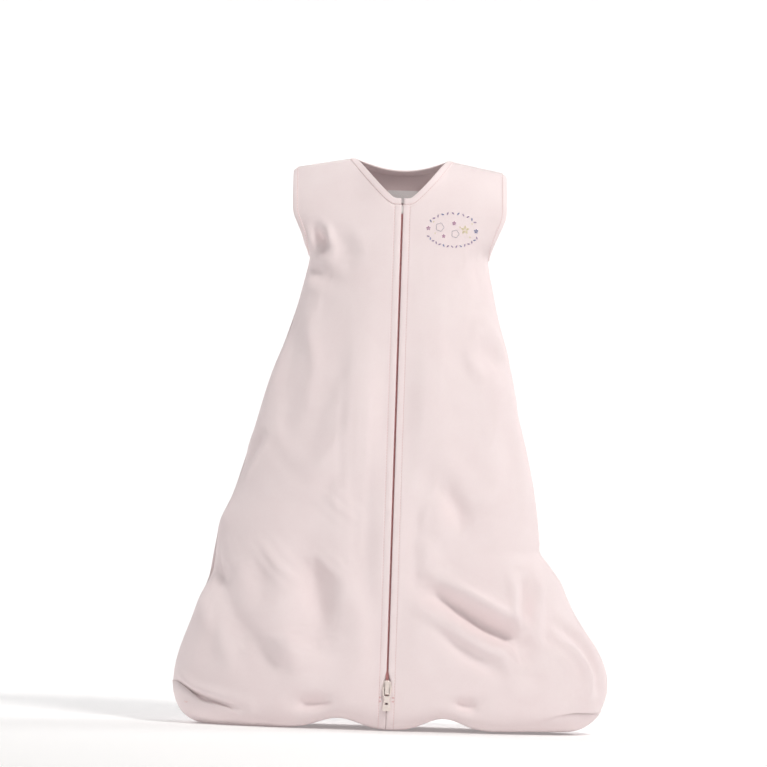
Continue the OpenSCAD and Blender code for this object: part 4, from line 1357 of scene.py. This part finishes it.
w, l = slider["wide"] / 2, slider["long"] / 2
sliderShape = smoothOutline([(-0.62 * w, -0.97 * l), (0, -l), (0.62 * w, -0.97 * l), (0.95 * w, -0.6 * l), (w, 0),
                             (0.86 * w, 0.5 * l), (0.6 * w, 0.88 * l), (0, l), (-0.6 * w, 0.88 * l),
                             (-0.86 * w, 0.5 * l), (-w, 0), (-0.95 * w, -0.6 * l)])
postShape = smoothOutline([(0, -7.0 * mm), (0.5 * mm, -5 * mm), (0.5 * mm, -3.4 * mm), (0, -1.6 * mm),
                           (-0.5 * mm, -3.4 * mm), (-0.5 * mm, -5 * mm)], 36)
parts = [
    roundedPlate(sliderShape, slider["plateLow"], slider["plateHigh"], 0.45 * mm, onSlider, 0.12 * mm),
    roundedPlate(sliderShape, slider["underLow"], slider["underHigh"], 0.45 * mm, onSlider),
    roundedPlate(postShape, slider["underLow"] + 0.5 * mm, slider["plateLow"] + 0.5 * mm, 0.05 * mm, onSlider),
]
addPart("slider_plates", joinParts(parts), enamel, ["slider_body"], body="slider")

# the cap: an arch over the spring, its outline seen from the side, carried across
top, foot = slider["capHigh"], slider["plateHigh"] - 0.1 * mm
archOuter = [(-l, foot), (-l + 0.1 * mm, foot + 1.2 * mm), (-l + 0.7 * mm, top - 0.8 * mm),
             (-l + 2.2 * mm, top - 0.1 * mm), (0, top), (l - 2.4 * mm, top - 0.15 * mm),
             (l - 0.8 * mm, top - 1.0 * mm), (l - 0.05 * mm, foot + 1.0 * mm), (l, foot)]
archInner = [(l - 2.9 * mm, foot), (l - 3.0 * mm, foot + 1.4 * mm), (l - 3.8 * mm, top - 1.1 * mm),
             (0, top - 1.0 * mm), (-l + 3.8 * mm, top - 1.1 * mm), (-l + 3.0 * mm, foot + 1.4 * mm),
             (-l + 2.9 * mm, foot)]
arch = smoothOutline(archOuter + archInner, 128)


def archPlate(outline, half, edge):
    # the arch from side to side
    rings, xs = roundedRings(outline, -half, half, edge)
    n = len(outline)
    p = np.concatenate([acrossSlider(r[:, 0], r[:, 1], np.full(n, x)) for r, x in zip(rings, xs)])
    caps = [face[::-1] for face in endCaps(len(rings), n)]
    return p, [*gridFaces(len(rings), n, wrapCols=True, flip=True), *caps]


addPart("slider_cap_arch", archPlate(arch, slider["capWide"] / 2, 0.42 * mm), enamel,
        ["slider_cap"], body="slider")

tab = {"thick": 1.2 * mm, "window": 5.5 * mm, "edge": 0.35 * mm, "gripIn": 0.04 * mm, "squareness": 4.5}


def onTab(x, u, v):
    # x across, u from the pivot, v from the tab's middle plane
    x, u, v = np.broadcast_arrays(*(np.asarray(a, float) for a in (x, u, v)))
    return pivotAt + x[..., None] * across + u[..., None] * zipUp + v[..., None] * zipOut


def sampledBox(halfWide, low, high, n):
    # rounded rectangle between two heights, started at its top middle
    a = np.linspace(0, 2 * np.pi, n, endpoint=False) + np.pi / 2
    c, s = np.cos(a), np.sin(a)
    k = (np.abs(c) ** tab["squareness"] + np.abs(s) ** tab["squareness"]) ** (-1 / tab["squareness"])
    return np.stack([c * k * halfWide, (low + high) / 2 + s * k * (high - low) / 2], axis=1)


def aimed(outline, centre, n):
    # the outline at n even angles seen from a centre, started at its top
    d = outline - np.array(centre)
    a = np.unwrap(np.arctan2(d[:, 1], d[:, 0]))
    if a[-1] < a[0]:
        a, outline = a[::-1], outline[::-1]
    want = np.pi / 2 + np.linspace(0, 2 * np.pi, n, endpoint=False)
    full = np.concatenate([a - 2 * np.pi, a, a + 2 * np.pi])
    px = np.interp(want, full, np.tile(outline[:, 0], 3))
    py = np.interp(want, full, np.tile(outline[:, 1], 3))
    return np.stack([px, py], axis=1)


loopOuter = smoothOutline(mirrored([
    (0, 0.55 * mm), (2.6 * mm, 0.55 * mm), (4.3 * mm, 0.2 * mm), (4.65 * mm, -2.5 * mm), (4.2 * mm, -6.5 * mm),
    (3.3 * mm, -10.2 * mm), (2.4 * mm, -12.2 * mm), (0, -12.6 * mm)]), 120)
gripOuter = smoothOutline(mirrored([
    (0, -8.9 * mm), (2.4 * mm, -9.2 * mm), (3.1 * mm, -11.5 * mm), (3.15 * mm, -14 * mm), (3.8 * mm, -17.5 * mm),
    (4.3 * mm, -21 * mm), (4.0 * mm, -23.8 * mm), (2.4 * mm, -24.5 * mm), (0, -24.6 * mm)]), 120)
t2 = tab["thick"] / 2
count = 96
window = sampledBox(tab["window"] / 2, -9.1 * mm, -0.55 * mm, 200)
slot = sampledBox(1.9 * mm, -17.8 * mm, -15.8 * mm, 200)
parts = [
    ringPlate(aimed(loopOuter, (0, -5 * mm), count), aimed(window, (0, -5 * mm), count),
              -t2, t2, tab["edge"], onTab),
    ringPlate(aimed(gripOuter, (0, -16.8 * mm), count), aimed(slot, (0, -16.8 * mm), count),
              -t2 + tab["gripIn"], t2 - tab["gripIn"], tab["edge"], onTab),
]
# two low ribs across the grip, for the finger
for u in (-20.6 * mm, -22.4 * mm):
    a = onTab(-2.6 * mm, u, t2 - 0.1 * mm)
    b = onTab(2.6 * mm, u, t2 - 0.1 * mm)
    parts.append(capsules(a[None], b[None], zipOut[None], 0.7 * mm, 0.0, 8, 5))
addPart("pull_tab_metal", joinParts(parts), enamel, ["pull_tab"], body="pull_tab")
print("slider and pull tab made")

# ---- embroidery: an oval garland of leaves, flowers and dots on the wearer's left chest
garland = {**chest, "wide": 29 * mm, "high": 17.5 * mm, "thread": 0.42 * mm}
threads = {
    "mauve": spunThread("embroidery thread, mauve", "#7d5a93", "#a883b8"),
    "rose": spunThread("embroidery thread, rose", "#b0699f", "#cf97c0"),
    "blue": spunThread("embroidery thread, blue", "#4c5a9c", "#7482bd"),
    "straw": spunThread("embroidery thread, straw", "#d8cf72", "#ece59a"),
    "grey": spunThread("embroidery thread, grey lilac", "#9a93a6", "#c0bac8"),
}
strokes = {name: [] for name in threads}      # each stroke is (x0, z0, x1, z1) about the garland's middle


def leaf(colour, x, z, turn, long, wide, rows=6):
    # satin stitches side by side across a leaf shape
    k = (np.arange(rows) + 0.5) / rows
    half = wide / 2 * np.sin(np.pi * k) ** 0.7
    c, s = np.cos(turn), np.sin(turn)
    for q, h in zip((k - 0.5) * long, half):
        strokes[colour].append((x + c * q + s * h, z + s * q - c * h, x + c * q - s * h, z + s * q + c * h))


def flower(colour, x, z, r, petals=5, turn=0.3):
    for i in range(petals):
        a = turn + i * 2 * np.pi / petals
        leaf(colour, x + np.cos(a) * r * 0.62, z + np.sin(a) * r * 0.62, a, r * 0.85, r * 0.62, 4)


def outlined(colour, x, z, r, sides=5, turn=0.0):
    # scalloped outline in single stitches
    a = turn + np.arange(sides * 4) * 2 * np.pi / (sides * 4)
    rr = r * (0.78 + 0.22 * np.abs(np.cos(a * sides / 2)))
    px, pz = x + rr * np.cos(a), z + rr * np.sin(a)
    for i in range(len(a)):
        j = (i + 1) % len(a)
        strokes[colour].append((px[i], pz[i], px[j], pz[j]))


for k, a in enumerate(np.radians(np.linspace(150, 30, 11))):       # upper arc
    c, s = garland["wide"] * np.cos(a) * 0.96, garland["high"] * np.sin(a)
    leaf("mauve" if k % 3 else "blue", c, s, a + (0.9 if k % 2 else -0.6), 3.4 * mm, 1.7 * mm, 6)
for k, a in enumerate(np.radians(np.linspace(205, 335, 15))):      # lower arc
    c, s = garland["wide"] * np.cos(a), garland["high"] * np.sin(a)
    leaf("blue" if k % 4 == 1 else "mauve", c, s, a + (0.8 if k % 2 else -0.7), 3.2 * mm, 1.6 * mm, 6)
outlined("grey", -14 * mm, 2.5 * mm, 4.6 * mm)
outlined("grey", 3 * mm, -4.0 * mm, 4.2 * mm, 5, 0.6)
flower("straw", 13.5 * mm, 0.5 * mm, 4.4 * mm)
flower("rose", 1.5 * mm, 7.0 * mm, 2.2 * mm)
flower("rose", -9.5 * mm, -6.8 * mm, 1.9 * mm)
flower("rose", -26.5 * mm, 1.0 * mm, 2.3 * mm)
flower("blue", 25.5 * mm, -0.5 * mm, 2.3 * mm)
for x, z in ((-21, 8), (21, 7), (-19, -4), (19, -7), (8, 3)):
    flower("straw", x * mm, z * mm, 0.8 * mm, 3)
for name, made in threads.items():
    s = np.array(strokes[name])
    a, na = skin(garland["x"] + s[:, 0], garland["z"] + s[:, 1], False, 0.16 * mm)
    b, nb = skin(garland["x"] + s[:, 2], garland["z"] + s[:, 3], False, 0.16 * mm)
    made = newPiece(f"embroidery_{name}", *capsules(a, b, unit(na + nb), garland["thread"], 0.5), material=made)
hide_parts("embroidery")
print("embroidery made")

# ---- inside: seam allowances, stay tapes and blank labels
inside = {"allowance": 5 * mm, "thick": 1.6 * mm, "clear": 3 * mm, "open": 0.1}


def addStrip(name, p, thick, material, node, flip=False):
    # a strip from its grid of points, thickened to both sides
    uv = np.stack([arcLength(p, 1), arcLength(p, 0)], axis=-1)
    thicken(addPart(name, (p, gridFaces(*p.shape[:2], flip=flip)), material, [node], uv), thick, 0.0)


def allowanceStrip(side):
    # the overlocked edge standing in from the side seam
    z = np.linspace(seamZ + 8 * mm, armpitZ - 4 * mm, 190)
    wave = 0.5 * mm * np.sin(z / (5 * mm))
    rows = []
    for q in np.linspace(0, 1, 6):
        x = side * (halfWidth(z) - 1.6 * mm - q * inside["allowance"])
        rows.append(hangOver(np.stack([x, wave * q, z], axis=-1)))
    return np.stack(rows, axis=1)


for sideName, side in (("left", 1), ("right", -1)):
    addStrip(f"side_seam_allowance_{sideName}", allowanceStrip(side), inside["thick"], jersey,
             f"side_seam_{sideName}", side < 0)

label = {"heights": (290 * mm, 328 * mm), "seam": 2.6 * mm, "long": 24 * mm, "stand": 2.2 * mm, "curl": 2.5 * mm,
         "thick": 0.3 * mm}


def careLabel():
    # a blank ribbon caught in the wearer's left side seam, curling off the cloth
    z = np.linspace(*label["heights"], 24)
    q = np.linspace(0, 1, 12)
    x = halfWidth(z)[:, None] - label["seam"] - q[None] * label["long"]
    y = label["stand"] + label["curl"] * q ** 2 + 0 * x
    return hangOver(np.stack([x, y, z[:, None] + 0 * x], axis=-1))


addStrip("care_label_ribbon", careLabel(), label["thick"], ribbon, "care_label")


def footAllowance():
    # the same edge inside the foot seam, open where the zip comes down
    around = np.linspace(-np.pi / 2 + inside["open"], 1.5 * np.pi - inside["open"], 220)
    x = (halfWidth(seamZ) - 3 * mm) * np.cos(around)
    z = seamZ - 2.5 * mm
    front = (np.sin(around) < 0)[:, None]
    rows = []
    for q in np.linspace(0, 1, 5):
        lift = -(inside["clear"] + q * inside["allowance"])
        rows.append(np.where(front, skin(x, z, False, lift)[0], skin(x, z, True, lift)[0]))
    return np.stack(rows, axis=1)


addStrip("foot_seam_allowance", footAllowance(), inside["thick"], overlock, "foot_seam")

for node, made in (("zip_box", whiteAcetal), ("zip_pin", whiteAcetal), ("zip_end_stops", whiteAcetal),
                   ("lock_spring", springSteel),
                   ("shoulder_tape_left", stayTape), ("shoulder_tape_right", stayTape),
                   ("neck_label", ribbon)):
    obj = frame["nodes"][node]
    for slotIndex in range(len(obj.material_slots)):
        obj.material_slots[slotIndex].material = made
print("inside made")
